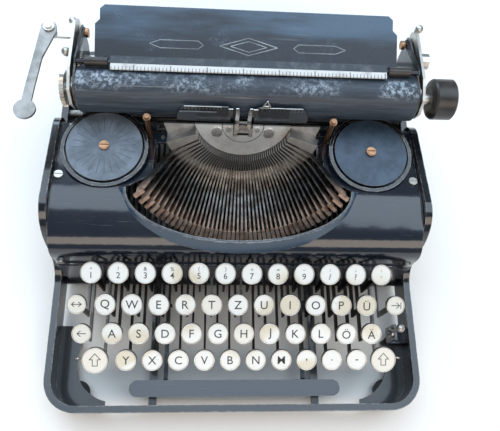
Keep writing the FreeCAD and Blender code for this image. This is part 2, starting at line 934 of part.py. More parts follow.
def segment_shape():
    top = 3.0
    low = top - N["segment_thick"]
    ring = ring_sector(N["segment_inner"], N["segment_outer"], low, top, 70)
    wide = N["bar_sheet"] + 2 * N["slot_gap"]
    depth = N["pivot_drop"] + 4.4
    cuts = []
    for index in range(int(N["bar_count"])):
        cut = Part.makeBox(N["segment_outer"] - N["segment_inner"] + 8, wide, depth + 6,
                           Vec(N["segment_inner"] - 4, -wide / 2, -depth))
        turn = math.degrees(-bar_angle(index))
        cut.rotate(Vec(0, 0, 0), AXIS_Z, -turn)
        cuts.append(cut)
    groove = Part.makeTorus(N["pivot_radius"], N["pivot_wire"] + N["running_gap"],
                            Vec(0, 0, -N["pivot_drop"]))
    ring = ring.cut(Part.makeCompound(cuts)).cut(groove)
    ring = fuse_all([ring, segment_back(low)])
    ring.Placement = basket_place()
    return ring


def segment_back(low):
    """The half-round web behind the slots, with the step that the plate is screwed to."""
    web = Part.makeCylinder(N["segment_outer"], 2.0, Vec(0, 0, low - 2.0))
    web = web.cut(Part.makeBox(200, 200, 10, Vec(-200 + 12, -100, low - 6)))
    step = Part.makeCylinder(N["segment_inner"] + 0.5, -6.0 - low, Vec(0, 0, low))
    step = step.cut(Part.makeCylinder(N["segment_inner"] - 5.0, 20, Vec(0, 0, low - 6)))
    step = step.cut(Part.makeBox(200, 200, 20, Vec(-200 + 12, -100, low - 6)))
    return web.fuse(step)


def wire_shape():
    ring = Part.makeTorus(N["pivot_radius"], N["pivot_wire"], Vec(0, 0, -N["pivot_drop"]))
    a = math.radians(69)
    far = N["pivot_radius"] * 3
    wedge = polygon_face([
        (0, 0, -10),
        (far * math.cos(a), far * math.sin(a), -10),
        (-far, far * math.sin(a), -10),
        (-far, -far * math.sin(a), -10),
        (far * math.cos(a), -far * math.sin(a), -10),
    ]).extrude(Vec(0, 0, 20))
    ring = ring.cut(wedge)
    ring.Placement = basket_place()
    return ring


# down the plate, across it, shank radius
PLATE_LOW = -6.0
PLATE_THICK = 1.6
PLATE_SCREWS = ((15, -19, 2.4), (15, 19, 2.4), (12.5, -10.5, 1.3), (12.5, 10.5, 1.3))


def segment_plate_shape():
    """The half-round plate inside the segment, notched at the top for the striking type."""
    disc = Part.makeCylinder(N["segment_inner"] - 0.4, PLATE_THICK, Vec(0, 0, PLATE_LOW))
    disc = disc.cut(Part.makeBox(100, 200, 10, Vec(-100 + 9, -100, -8)))
    disc = disc.cut(Part.makeBox(20, 14.4, 10, Vec(-1, -7.2, -8)))
    for x, y, r in PLATE_SCREWS:
        disc = disc.cut(Part.makeCylinder(r + N["slot_gap"], 10, Vec(x, y, -8)))
    disc.Placement = basket_place()
    return disc


def segment_screws_shape():
    screws = []
    for x, y, r in PLATE_SCREWS:
        top = PLATE_LOW + PLATE_THICK
        shank = Part.makeCylinder(r, PLATE_THICK, Vec(x, y, PLATE_LOW))
        head = Part.makeCylinder(r * 1.7, 1.1, Vec(x, y, top))
        slot = Part.makeBox(r * 4, 0.7, 0.6, Vec(x - 2 * r, y - 0.35, top + 0.6))
        screws.append(shank.fuse(head).cut(slot))
    shape = Part.makeCompound(screws)
    shape.Placement = basket_place()
    return shape


LIVE_BARS = []
order = all_spots()
for row, index in LIVE:
    LIVE_BARS.append(order.index(key_spots(row)[index]))

still_bars = [typebar(i) for i in range(int(N["bar_count"])) if i not in LIVE_BARS]
shaped("typebars", Part.makeCompound(still_bars))
for name, index in zip(LIVE_NAMES, LIVE_BARS):
    shaped("typebar_" + name, typebar(index))
    angle = bar_angle(index)
    pivot = radial_place(angle).multVec(Vec(N["pivot_radius"], -N["pivot_drop"], 0))
    across = AXIS_X * math.sin(angle) + DOWN * math.cos(angle)
    print("typebar", name, "bar", index, "pivot", tuple(pivot), "axis", tuple(across.cross(OUT)))
shaped("type_segment", segment_shape())
shaped("segment_wire", wire_shape())
shaped("segment_plate", segment_plate_shape())
shaped("segment_screws", segment_screws_shape())


def guide_shape():
    """Two prongs that flare apart below the print point, joined behind."""
    prongs = []
    for side in (-1, 1):
        outline = [(9.5, side * 2.9), (16.0, side * 4.6), (16.0, side * 6.8), (9.5, side * 6.8)]
        face = polygon_face([(x, y, -6.6) for x, y in outline])
        prongs.append(face.extrude(Vec(0, 0, 5.0)))
        prongs.append(Part.makeBox(3.0, 1.8, 3.0, Vec(14.5, side * 5.9 - 0.9, -9.0)))
    foot = Part.makeBox(3.0, 13.6, 1.6, Vec(14.5, -6.8, -9.0))
    shape = fuse_all(prongs + [foot])
    shape.Placement = basket_place()
    return shape


shaped("type_guide", guide_shape())


# ---- ribbon parts and card holders ----

def platen_ring(inner, outer, x0, x1, first, last):
    """A curved plate round the platen's axis, between two angles from +Y towards +Z."""
    points = []
    steps = 14
    for i in range(steps + 1):
        a = math.radians(first + (last - first) * i / steps)
        points.append((N["platen_y"] + outer * math.cos(a), N["platen_z"] + outer * math.sin(a)))
    for i in range(steps, -1, -1):
        a = math.radians(first + (last - first) * i / steps)
        points.append((N["platen_y"] + inner * math.cos(a), N["platen_z"] + inner * math.sin(a)))
    return slab_x(points, x0, x1 - x0)


def card_holder(x0, x1):
    r = N["platen_radius"] + 1.6
    shell = platen_ring(r, r + 1.0, x0, x1, 168, 232)
    web = 3.0 - N["segment_thick"] - 2.0
    low = CENTRE + DOWN * 19.5 + OUT * web
    high = CENTRE + DOWN * 16.4 + OUT * web
    middle = r + 0.5
    ends = []
    for degrees in (231.5, 227.5):
        a = math.radians(degrees)
        ends.append((N["platen_y"] + middle * math.cos(a), N["platen_z"] + middle * math.sin(a)))
    lug = slab_x([(low.y, low.z), ends[0], ends[1], (high.y, high.z)], (x0 + x1) / 2 - 3, 6)
    return shell.fuse(lug).Solids[0]


shaped("card_holders", Part.makeCompound([card_holder(-43.0, -8.0), card_holder(11.0, 46.0)]))


def guide_post(x):
    post = Part.makeCylinder(2.0, POST_TOP - DECK_Z - 2.0, Vec(x, POST_Y, DECK_Z + 2.0))
    collar = Part.makeCylinder(2.8, 2.0, Vec(x, POST_Y, POST_TOP - 4.0))
    return post.fuse(collar)


DECK_Z = N["spool_top"] - 15.0
POST_TOP = N["platen_z"] - 0.5
shaped("ribbon_posts", Part.makeCompound([guide_post(-POST_X), guide_post(POST_X)]))


def saddle_shape():
    """A block on the beam, cut to fit the underside and back of the segment."""
    block = Part.makeBox(44, 8, 10, Vec(N["print_x"] - 22, BEAM_Y, BEAM_Z + 6))
    back = 3.0 - N["segment_thick"] - 2.0
    room = Part.makeCylinder(N["segment_outer"] + 0.02, 40, Vec(0, 0, back - 0.02))
    room.Placement = basket_place()
    pieces = block.cut(room).Solids
    return max(pieces, key=lambda piece: piece.Volume)


def apron_shape():
    """The beam from wall to wall under the basket, with the deck that carries the ribbon posts."""
    half = N["body_width"] / 2 - N["wall"]
    beam = Part.makeBox(2 * half, 8, 6, Vec(-half, BEAM_Y, BEAM_Z))
    y = N["platen_y"] - N["platen_radius"] - 8.0
    wide = POST_X + 1.0
    deck = slab_z([(-wide, y), (wide, y), (wide, y + 9), (-wide, y + 9)], DECK_Z, 2.0)
    window = slab_z([(-30, y - 1), (33, y - 1), (33, y + 10), (-30, y + 10)], DECK_Z - 1, 4.0)
    parts = [beam, deck.cut(window)]
    outline = [
        (BEAM_Y, BEAM_Z),
        (BEAM_Y + 8, BEAM_Z),
        (y + 9, DECK_Z + 1),
        (y, DECK_Z + 1),
        (BEAM_Y, BEAM_Z + 6),
    ]
    for x in (-wide, wide - 4):
        parts.append(slab_x(outline, x, 4))
    return fuse_all(parts + [saddle_shape()])


BEAM_Y = N["spool_y"] - 4.0
BEAM_Z = N["rail_z"] - 8.0
shaped("basket_apron", apron_shape())


def spool(side, label, wound_radius):
    """A ribbon spool: two flanges on a hub, with the wound ribbon between them."""
    low = N["spool_top"] - N["spool_height"]
    spot = Vec(side * N["spool_x"], N["spool_y"], low)
    body = Part.makeCylinder(N["spool_radius"], N["spool_height"], spot)
    gap = N["spool_height"] - 1.8
    groove = Part.makeCylinder(N["spool_radius"] + 1, gap, spot + Vec(0, 0, 0.9))
    groove = groove.cut(Part.makeCylinder(8.0, gap, spot + Vec(0, 0, 0.9)))
    body = body.cut(groove).cut(Part.makeCylinder(3.0, 40, spot - Vec(0, 0, 5)))
    ribbon = Part.makeCylinder(wound_radius, gap - 0.4, spot + Vec(0, 0, 1.1))
    ribbon = ribbon.cut(Part.makeCylinder(8.1, gap, spot + Vec(0, 0, 1.0)))
    return shaped(label, Part.makeCompound([body, ribbon]))


spool(-1, "ribbon_spool_left", 21.0)
spool(1, "ribbon_spool_right", 16.0)


def spool_studs_shape():
    studs = []
    low = N["spool_top"] - N["spool_height"] - 3.0
    for side in (-1, 1):
        x = N["spool_x"] * side
        stud = Part.makeCylinder(2.9, N["spool_height"] + 5.5, Vec(x, N["spool_y"], low))
        head = Part.makeCylinder(3.6, 1.5, Vec(x, N["spool_y"], N["spool_top"] + 0.4))
        slot = Part.makeBox(9, 0.9, 2, Vec(x - 4.5, N["spool_y"] - 0.45, N["spool_top"] + 1.4))
        studs.append(stud.fuse(head).cut(slot))
    return Part.makeCompound(studs)


shaped("spool_studs", spool_studs_shape())


# ---- carriage ----

rail_front = rod("rail_front", S["rail_radius"], inside * 2, -inside, S["rail_front_y"], S["rail_z"], AXIS_X)
rail_rear = rod("rail_rear", S["rail_radius"], inside * 2, -inside, S["rail_rear_y"], S["rail_z"], AXIS_X)
keep(fused("rails", [rail_front, rail_rear]), "carriage_rails")

left_end = S["carriage_offset"] - S["platen_length"] / 2
right_end = S["carriage_offset"] + S["platen_length"] / 2
left_plate = left_end - 3.7 - S["end_sheet"]
right_plate = right_end + 3.3
left_cheek = left_end - 1.1 - S["cheek_sheet"]
right_cheek = right_end + 0.9
bed = box("carriage_bed", right_plate - left_plate - S["end_sheet"], 48.0, S["bed_sheet"],
          left_plate + S["end_sheet"], S["platen_y"] + 2.0, S["bed_z"])
keep(bed, "carriage_bed")


def bearing_shape():
    """Four blocks that ride the rails under the bed."""
    blocks = []
    r = N["rail_radius"] + N["running_gap"] + 0.03
    for x in (-28, 28):
        for y in (N["rail_front_y"], N["rail_rear_y"]):
            low = N["rail_z"] - N["rail_radius"] - 2.5
            block = Part.makeBox(10, 13, N["bed_z"] - low, Vec(x - 5, y - 6.5, low))
            blocks.append(block.cut(Part.makeCylinder(r, 12, Vec(x - 6, y, N["rail_z"]), AXIS_X)))
    return Part.makeCompound(blocks)


shaped("carriage_bearings", bearing_shape())


def end_plate_shape(x0):
    y = N["platen_y"]
    z = N["platen_z"]
    outline = [
        (y + 2, N["bed_z"]),
        (y + 50, N["bed_z"]),
        (y + 54, N["bed_z"] + 12),
        (y + 54, z + 8),
        (y + 46, z + 16),
        (y + 6, z + 17),
        (y - 9, z + 11.5),
        (y - 13.5, z - 0.5),
        (y - 10, z - 12),
        (y + 2, z - 17),
    ]
    shape = slab_x(outline, x0, N["end_sheet"])
    r = N["platen_shaft"] + 0.3
    lift = N["shift_lift"] + 0.4
    hole = Part.makeCylinder(r, 10, Vec(x0 - 4, y, z), AXIS_X)
    hole2 = Part.makeCylinder(r, 10, Vec(x0 - 4, y, z + lift), AXIS_X)
    slot = Part.makeBox(10, 2 * r, lift, Vec(x0 - 4, y - r, z))
    return shape.cut(fuse_all([hole, hole2, slot]))


end_plates = [end_plate_shape(left_plate.value), end_plate_shape(right_plate.value)]
shaped("carriage_ends", Part.makeCompound(end_plates))


def cheek_shape(x0):
    y = N["platen_y"]
    z = N["platen_z"]
    outline = [
        (y - 12, z + 3),
        (y - 12, z - 5.5),
        (y - 6, z - 13),
        (y + 8, z - 30),
        (y + 42, z - 30),
        (y + 50, z - 18),
        (y + 52, z + 4),
        (y + 44, z + 8),
        (y + 12, z + 13),
        (y - 5, z + 12.5),
    ]
    shape = slab_x(outline, x0, N["cheek_sheet"])
    r = N["platen_shaft"] + N["running_gap"]
    shape = shape.cut(Part.makeCylinder(r, 6, Vec(x0 - 2, y, z), AXIS_X))
    for centre in roller_centres():
        hole = Part.makeCylinder(2.0 + N["running_gap"], 6, Vec(x0 - 2, centre[0], centre[1]), AXIS_X)
        shape = shape.cut(hole)
    pin = Part.makeCylinder(2.0 + N["running_gap"], 6, Vec(x0 - 2, BAIL_Y, BAIL_Z), AXIS_X)
    return shape.cut(pin)


BAIL_Y = N["platen_y"] + 47.0
BAIL_Z = N["platen_z"] + 1.0


def roller_centres():
    gap = N["platen_radius"] + 6.0 + 0.3
    found = []
    for degrees in (295,):
        a = math.radians(degrees)
        found.append((N["platen_y"] + gap * math.cos(a), N["platen_z"] + gap * math.sin(a)))
    return found


def lift_rod_shape():
    x0 = left_cheek.value + N["cheek_sheet"]
    spot = Vec(x0, N["platen_y"] + 38.0, N["platen_z"] - 24.0)
    return Part.makeCylinder(3.0, right_cheek.value - x0, spot, AXIS_X)



def roller(index, label):
    centre = roller_centres()[index]
    shaft = Part.makeCylinder(2.0, right_cheek.value + N["cheek_sheet"] - left_cheek.value,
                              Vec(left_cheek.value, centre[0], centre[1]), AXIS_X)
    parts = [shaft]
    for x in (-90, -45, 0, 45, 90):
        spot = Vec(x + N["carriage_offset"] - 12, centre[0], centre[1])
        parts.append(Part.makeCylinder(6.0, 24, spot, AXIS_X))
    return shaped(label, fuse_all(parts))


roller(0, "feed_roller")

platen = turned("platen", [
    (0.0, 0.0),
    (S["platen_radius"] - 0.8, 0.0),
    (S["platen_radius"], 0.8),
    (S["platen_radius"], S["platen_length"] - 0.8),
    (S["platen_radius"] - 0.8, S["platen_length"]),
    (0.0, S["platen_length"]),
])
put(platen, left_end, S["platen_y"], S["platen_z"], Turn(AXIS_Z, AXIS_X))

shaft_left = rod("shaft_left", S["platen_shaft"], 13.5, left_end - 13.5, S["platen_y"], S["platen_z"], AXIS_X)
shaft_right = rod("shaft_right", S["platen_shaft"], 12.5, right_end, S["platen_y"], S["platen_z"], AXIS_X)
keep(fused("shaft_ends", [shaft_left, shaft_right]), "platen_shaft")
knob = turned("platen_knob", [
    (0.0, 0.0),
    (9.0, 0.0),
    (S["knob_radius"] - 1.0, 1.6),
    (S["knob_radius"], 3.0),
    (S["knob_radius"], S["knob_length"] - 1.0),
    (S["knob_radius"] - 1.0, S["knob_length"]),
    (S["knob_radius"] - 3.4, S["knob_length"]),
    (S["knob_radius"] - 5.0, S["knob_length"] - 8.0),
    (3.4, S["knob_length"] - 9.0),
    (3.4, S["knob_length"] - 6.5),
    (0.0, S["knob_length"] - 6.5),
])
put(knob, right_end + 12.5, S["platen_y"], S["platen_z"], Turn(AXIS_Z, AXIS_X))


def ratchet_shape():
    teeth = 30
    points = []
    for i in range(teeth):
        a = 2 * math.pi * i / teeth
        b = a + 2 * math.pi / teeth * 0.85
        points.append((13.2 * math.cos(a), 13.2 * math.sin(a), 0))
        points.append((11.6 * math.cos(b), 11.6 * math.sin(b), 0))
    wheel = polygon_face(points).extrude(Vec(0, 0, 3.0))
    wheel = wheel.cut(Part.makeCylinder(N["platen_shaft"], 4, Vec(0, 0, -0.5)))
    spot = Vec(left_end.value - 11.5, N["platen_y"], N["platen_z"])
    wheel.Placement = Place(spot, Turn(AXIS_Z, AXIS_X))
    return wheel


shaped("platen_ratchet", ratchet_shape())

TABLE_LOW = (N["platen_y"] + 21.5, N["platen_z"] - 7.0)
TABLE_HIGH = (N["platen_y"] + 66.0, N["platen_z"] + 10.0)
table_slope = math.degrees(math.atan2(TABLE_HIGH[1] - TABLE_LOW[1], TABLE_HIGH[0] - TABLE_LOW[0]))
half_table = S["table_width"] / 2
table = plate("paper_table", "XY_Plane", [
    (-half_table + 3.0, 0.0),
    (half_table - 3.0, 0.0),
    (half_table, 3.0),
    (half_table, 33.0),
    (half_table - 3.5, 36.5),
    (half_table - 3.5, 44.5),
    (half_table - 7.0, 47.5),
    (-half_table + 7.0, 47.5),
    (-half_table + 3.5, 44.5),
    (-half_table + 3.5, 36.5),
    (-half_table, 33.0),
    (-half_table, 3.0),
], 1.2)
put(table, S["carriage_offset"], S["platen_y"] + 21.5, S["platen_z"] - 7.0, Turn(AXIS_X, table_slope))


def table_posts_shape():
    """Two brackets that hold the paper table on the lift rod."""
    y = N["platen_y"] + 38.0
    z = N["platen_z"] - 24.0
    slope = math.tan(math.radians(table_slope))
    under = TABLE_LOW[1] + (y - 4 - TABLE_LOW[0]) * slope - 0.0
    posts = []
    for x in (-70, 70):
        top0 = under
        top1 = under + 8 * slope
        outline = [(y - 4, z + 3.2), (y + 4, z + 3.2), (y + 4, top1), (y - 4, top0)]
        ring = Part.makeCylinder(4.6, 3.0, Vec(x, y, z), AXIS_X)
        arm = slab_x([(y - 4, z), (y + 4, z), (y + 4, top1), (y - 4, top0)], x, 3.0)
        hole = Part.makeCylinder(3.0, 5.0, Vec(x - 1, y, z), AXIS_X)
        posts.append(ring.fuse(arm).cut(hole))
    return Part.makeCompound([p.Solids[0] for p in posts])


frame_parts = [cheek_shape(left_cheek.value), cheek_shape(right_cheek.value), lift_rod_shape()]
shaped("lift_frame", Part.makeCompound(frame_parts + table_posts_shape().Solids))

BAR_Y = N["platen_y"] + 10.8
BAR_Z = N["platen_z"] + 17.2


def bail_shape():
    """The paper bail: two arms on pins and the round bar between them."""
    x0 = left_end.value - 0.95
    x1 = right_end.value - 0.45
    arms = []
    for x, pin_x, way in ((x0, x0, -1), (x1, x1 + 1.2, 1)):
        outline = [
            (BAIL_Y + 3, BAIL_Z - 2.5),
            (BAIL_Y + 3, BAIL_Z + 3),
            (BAR_Y + 14, BAR_Z - 1.6),
            (BAR_Y + 1, BAR_Z + 2.6),
            (BAR_Y - 2.6, BAR_Z + 1.2),
            (BAR_Y - 1.0, BAR_Z - 1.8),
            (BAR_Y + 13, BAR_Z - 6.0),
        ]
        arms.append(slab_x(outline, x, 1.2))
        arms.append(Part.makeCylinder(2.0, 2.2, Vec(pin_x, BAIL_Y, BAIL_Z), AXIS_X * way))
    bar = Part.makeCylinder(1.6, x1 - x0, Vec(x0, BAR_Y, BAR_Z), AXIS_X)
    return fuse_all(arms + [bar])


shaped("paper_bail", bail_shape())


def bail_sleeves_shape():
    sleeves = []
    for x in (left_end.value + 6.0, right_end.value - 22.0):
        sleeve = Part.makeCylinder(3.3, 16.0, Vec(x, BAR_Y, BAR_Z), AXIS_X)
        sleeves.append(sleeve.cut(Part.makeCylinder(1.65, 18, Vec(x - 1, BAR_Y, BAR_Z), AXIS_X)))
    return Part.makeCompound(sleeves)


shaped("bail_sleeves", bail_sleeves_shape())


def bail_scale_shape():
    x0 = left_end.value + 24.0
    x1 = right_end.value - 24.0
    strip = [
        (BAR_Y - 6.6, BAR_Z + 0.6),
        (BAR_Y - 6.2, BAR_Z + 1.4),
        (BAR_Y + 3.4, BAR_Z + 3.0),
        (BAR_Y + 3.6, BAR_Z + 2.2),
        (BAR_Y + 0.2, BAR_Z + 1.62),
        (BAR_Y - 0.6, BAR_Z + 1.62),
    ]
    return slab_x(strip, x0, x1 - x0)


shaped("bail_scale", bail_scale_shape())


# ---- levers on the carriage ----

def return_bracket_shape():
    x1 = left_plate.value
    y = N["platen_y"] + 46.0
    z = N["platen_z"] + 2.5
    deck = Part.makeBox(26.0, 12.0, 2.4, Vec(x1 - 26.0, y - 6.0, z))
    pin = Part.makeCylinder(2.4, 5.0, Vec(x1 - 19.0, y, z + 2.4))
    cap = Part.makeCylinder(4.0, 1.4, Vec(x1 - 19.0, y, z + 2.4 + 2.5))
    return fuse_all([deck, pin, cap])



def return_lever_shape():
    """A flat lever with a D-shaped finger pad at its front end."""
    px = left_plate.value - 19.0
    py = N["platen_y"] + 46.0
    z = N["platen_z"] + 2.5 + 2.4 + 0.3
    outline = [
        (px - 5.5, py + 3.0),
        (px + 4.0, py + 5.0),
        (px + 5.5, py - 3.0),
        (px - 2.0, py - 26.0),
        (px - 4.5, py - 52.0),
        (px - 5.5, py - 66.0),
        (px - 12.0, py - 65.0),
        (px - 10.8, py - 50.0),
        (px - 8.2, py - 25.0),
    ]
    strip = slab_z(outline, z, 2.0)
    pad = Part.makeCylinder(7.5, 2.0, Vec(px - 9.0, py - 68.0, z))
    pad = pad.cut(Part.makeBox(20, 20, 6, Vec(px - 30.0 + 13.2, py - 90, z - 2)).cut(
        Part.makeBox(20, 50, 8, Vec(px - 15.8, py - 100, z - 3))))
    hole = Part.makeCylinder(2.4 + N["running_gap"], 6, Vec(px, py, z - 2))
    return strip.fuse(pad).cut(hole).Solids[0]


shaped("return_lever", return_lever_shape())


def ball_lever(label, x, y, z, back, up):
    """A thin lever on a pin at the end plate, with a ball on its tip."""
    out = 1 if x > 0 else -1
    eye = Part.makeCylinder(4.0, 1.6, Vec(x, y, z), AXIS_X * out)
    eye = eye.cut(Part.makeCylinder(1.8 + N["running_gap"], 4, Vec(x - out, y, z), AXIS_X * out))
    way = Vec(0, back, up)
    stalk = Part.makeCylinder(0.9, way.Length - 3.2,
                              Vec(x + out * 1.1, y, z) + way * (3.2 / way.Length), way)
    knob_ball = Part.makeSphere(3.3)
    knob_ball.Placement = Place(Vec(x + out * 3.5, y + back, z + up), Turn(AXIS_Z, 90 - 90 * out))
    return shaped(label, fuse_all([eye, stalk, knob_ball]))


LEFT_PIN_X = left_plate.value - 0.6
RIGHT_PIN_X = right_plate.value + N["end_sheet"] + 0.6
ball_lever("line_space_lever", LEFT_PIN_X, N["platen_y"] + 24.0, N["platen_z"] - 14.0, 0.0, 23.0)
ball_lever("paper_release_lever", LEFT_PIN_X, N["platen_y"] + 48.0, N["platen_z"] - 22.0, 9.0, 23.0)
ball_lever("carriage_release_lever", RIGHT_PIN_X, N["platen_y"] + 48.0, N["platen_z"] - 14.0, 9.0, 22.0)


def lever_pins_shape():
    pins = []
    spots = [
        (left_plate.value, -1, 24.0, -14.0),
        (left_plate.value, -1, 48.0, -22.0),
        (right_plate.value + N["end_sheet"], 1, 48.0, -14.0),
    ]
    for x, way, back, up in spots:
        y = N["platen_y"] + back
        z = N["platen_z"] + up
        pin = Part.makeCylinder(1.8, 3.2, Vec(x, y, z), AXIS_X * way)
        cap = Part.makeCylinder(3.0, 1.0, Vec(x + way * 3.2, y, z), AXIS_X * way)
        pins.append(pin.fuse(cap))
    return Part.makeCompound(pins)



def clamp_nut_shape():
    points = []
    for i in range(10):
        a = 2 * math.pi * i / 10
        points.append((6.0 * math.cos(a), 6.0 * math.sin(a), 0))
    nut = polygon_face(points).extrude(Vec(0, 0, 8.5))
    spot = Vec(right_plate.value + N["end_sheet"], N["platen_y"] + 30.0, N["platen_z"] + 4.5)
    nut.Placement = Place(spot, Turn(AXIS_Z, AXIS_X))
    return nut


shaped("clamp_nut", clamp_nut_shape())

def margin_rail_shape():
    x0 = left_plate.value + N["end_sheet"]
    spot = Vec(x0, N["platen_y"] + 47.0, N["bed_z"] + 5.0)
    return Part.makeBox(right_plate.value - x0, 3.0, 8.0, spot)


fittings = [margin_rail_shape(), return_bracket_shape()] + lever_pins_shape().Solids
shaped("carriage_fittings", Part.makeCompound(fittings))


def margin_stop(label, x):
    y = N["platen_y"] + 47.0
    z = N["bed_z"] + 5.0
    block = Part.makeBox(10, 9, 13, Vec(x - 5, y - 3, z - 1.5))
    tab = Part.makeBox(6, 2, 7, Vec(x - 3, y + 4, z + 11.5))
    block = block.fuse(tab)
    g = N["loose_gap"]
    slot = Part.makeBox(14, 3 + 2 * g, 8 + 2 * g, Vec(x - 7, y - g, z - g))
    return shaped(label, block.cut(slot))


margin_stop("margin_stop_left", -95.0)
margin_stop("margin_stop_right", 106.0)


# ---- ribbon selector, bell ----

SELECT_X = N["body_width"] / 2 - 16
SELECT_Y = -84.5
SELECT_Z = 36.0


def selector_bracket_shape():
    x1 = N["body_width"] / 2 - N["wall"]
    foot = Part.makeBox(x1 - SELECT_X + 1.0, 12, 2, Vec(SELECT_X - 1.0, SELECT_Y - 6, 18.0))
    wall = Part.makeBox(2, 12, 22, Vec(SELECT_X - 1.0, SELECT_Y - 6, 18.0))
    pin = Part.makeCylinder(1.8, 4.6, Vec(SELECT_X - 1.0, SELECT_Y, SELECT_Z), Vec(-1, 0, 0))
    return fuse_all([foot, wall, pin])


shaped("lever_brackets", Part.makeCompound([
    space_bracket(-ARM_X, -1),
    space_bracket(ARM_X, 1),
    selector_bracket_shape(),
]))


def selector_lever_shape():
    x = SELECT_X - 1.4
    eye = Part.makeCylinder(4.0, 1.6, Vec(x, SELECT_Y, SELECT_Z), Vec(-1, 0, 0))
    eye = eye.cut(Part.makeCylinder(1.8 + N["running_gap"], 4, Vec(x + 1, SELECT_Y, SELECT_Z), Vec(-1, 0, 0)))
    stalk = Part.makeCylinder(1.1, 18.0, Vec(x - 0.8, SELECT_Y, SELECT_Z + 3))
    end = Part.makeSphere(3.2, Vec(x - 0.8, SELECT_Y, SELECT_Z + 22))
    return fuse_all([eye, stalk, end])


shaped("ribbon_selector", selector_lever_shape())

bell = turned("bell", [
    (0.0, 18.0),
    (9.0, 16.5),
    (15.0, 11.0),
    (17.0, 3.0),
    (17.5, 0.0),
    (16.3, 0.0),
    (15.7, 3.0),
    (13.9, 10.0),
    (8.5, 15.1),
    (3.0, 16.5),
    (0.0, 16.5),
])
put(bell, BELL_X, BELL_Y, BELL_Z)
spring_drum = rod("spring_drum", 20.0, 12.0, DRUM_X, DRUM_Y, DRUM_Z)
keep(spring_drum, "spring_drum")


# ---- check, then write ----

doc.recompute()
problems = []
for item in doc.Objects:
    if "Invalid" in item.State or "Error" in item.State:
        problems.append(item.Label)
for item in nodes:
    if item.Shape.isNull() or not item.Shape.isValid():
        problems.append(item.Label + " shape")
    if not item.Shape.Solids:
        problems.append(item.Label + " has no solid")
if problems:
    raise SystemExit("not written: " + ", ".join(problems))
names = [item.Label for item in nodes]
if len(set(names)) != len(names):
    raise SystemExit("two nodes share a name")
os.makedirs("parts", exist_ok=True)
for item in nodes:
    item.Shape.exportStep("parts/%s.step" % item.Label)
    box_ = item.Shape.BoundBox
    print("%-26s solids %2d  volume %9.1f mm3  x %.1f..%.1f y %.1f..%.1f z %.1f..%.1f" % (
        item.Label, len(item.Shape.Solids), item.Shape.Volume,
        box_.XMin, box_.XMax, box_.YMin, box_.YMax, box_.ZMin, box_.ZMax))
print("nodes", len(nodes))
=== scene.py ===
# %% [markdown]
# # A portable typewriter
# The model arrives with its real pieces already built to size. This notebook gives every piece its
# finish, adds the small things that are easier to shape here (the key letters, springs, scale marks, fine
# trim), and sets light and camera.

import math

import bmesh
import bpy
from mathutils import Matrix, Vector


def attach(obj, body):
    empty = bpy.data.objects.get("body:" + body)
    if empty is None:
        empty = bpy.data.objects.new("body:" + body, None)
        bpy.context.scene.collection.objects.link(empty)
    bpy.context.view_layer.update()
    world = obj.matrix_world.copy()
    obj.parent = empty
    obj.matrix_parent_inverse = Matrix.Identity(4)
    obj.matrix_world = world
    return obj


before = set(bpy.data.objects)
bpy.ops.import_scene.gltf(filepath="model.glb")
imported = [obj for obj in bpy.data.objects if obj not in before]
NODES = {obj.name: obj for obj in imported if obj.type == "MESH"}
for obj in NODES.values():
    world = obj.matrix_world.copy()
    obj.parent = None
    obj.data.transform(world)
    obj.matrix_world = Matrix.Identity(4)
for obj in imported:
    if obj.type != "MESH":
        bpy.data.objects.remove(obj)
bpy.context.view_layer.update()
MM = 0.001

# %% [markdown]
# ## Writing shaders as sums
# A shader is a graph of nodes, and wiring it by hand is slow to read. A small class holds one socket and
# lets Python's own signs add the Math nodes, so a mask can be written as `wear * 0.5 + dust`. One method
# makes any other node.

# %% A socket that does arithmetic
def is_colour(value):
    return isinstance(value, (tuple, list))


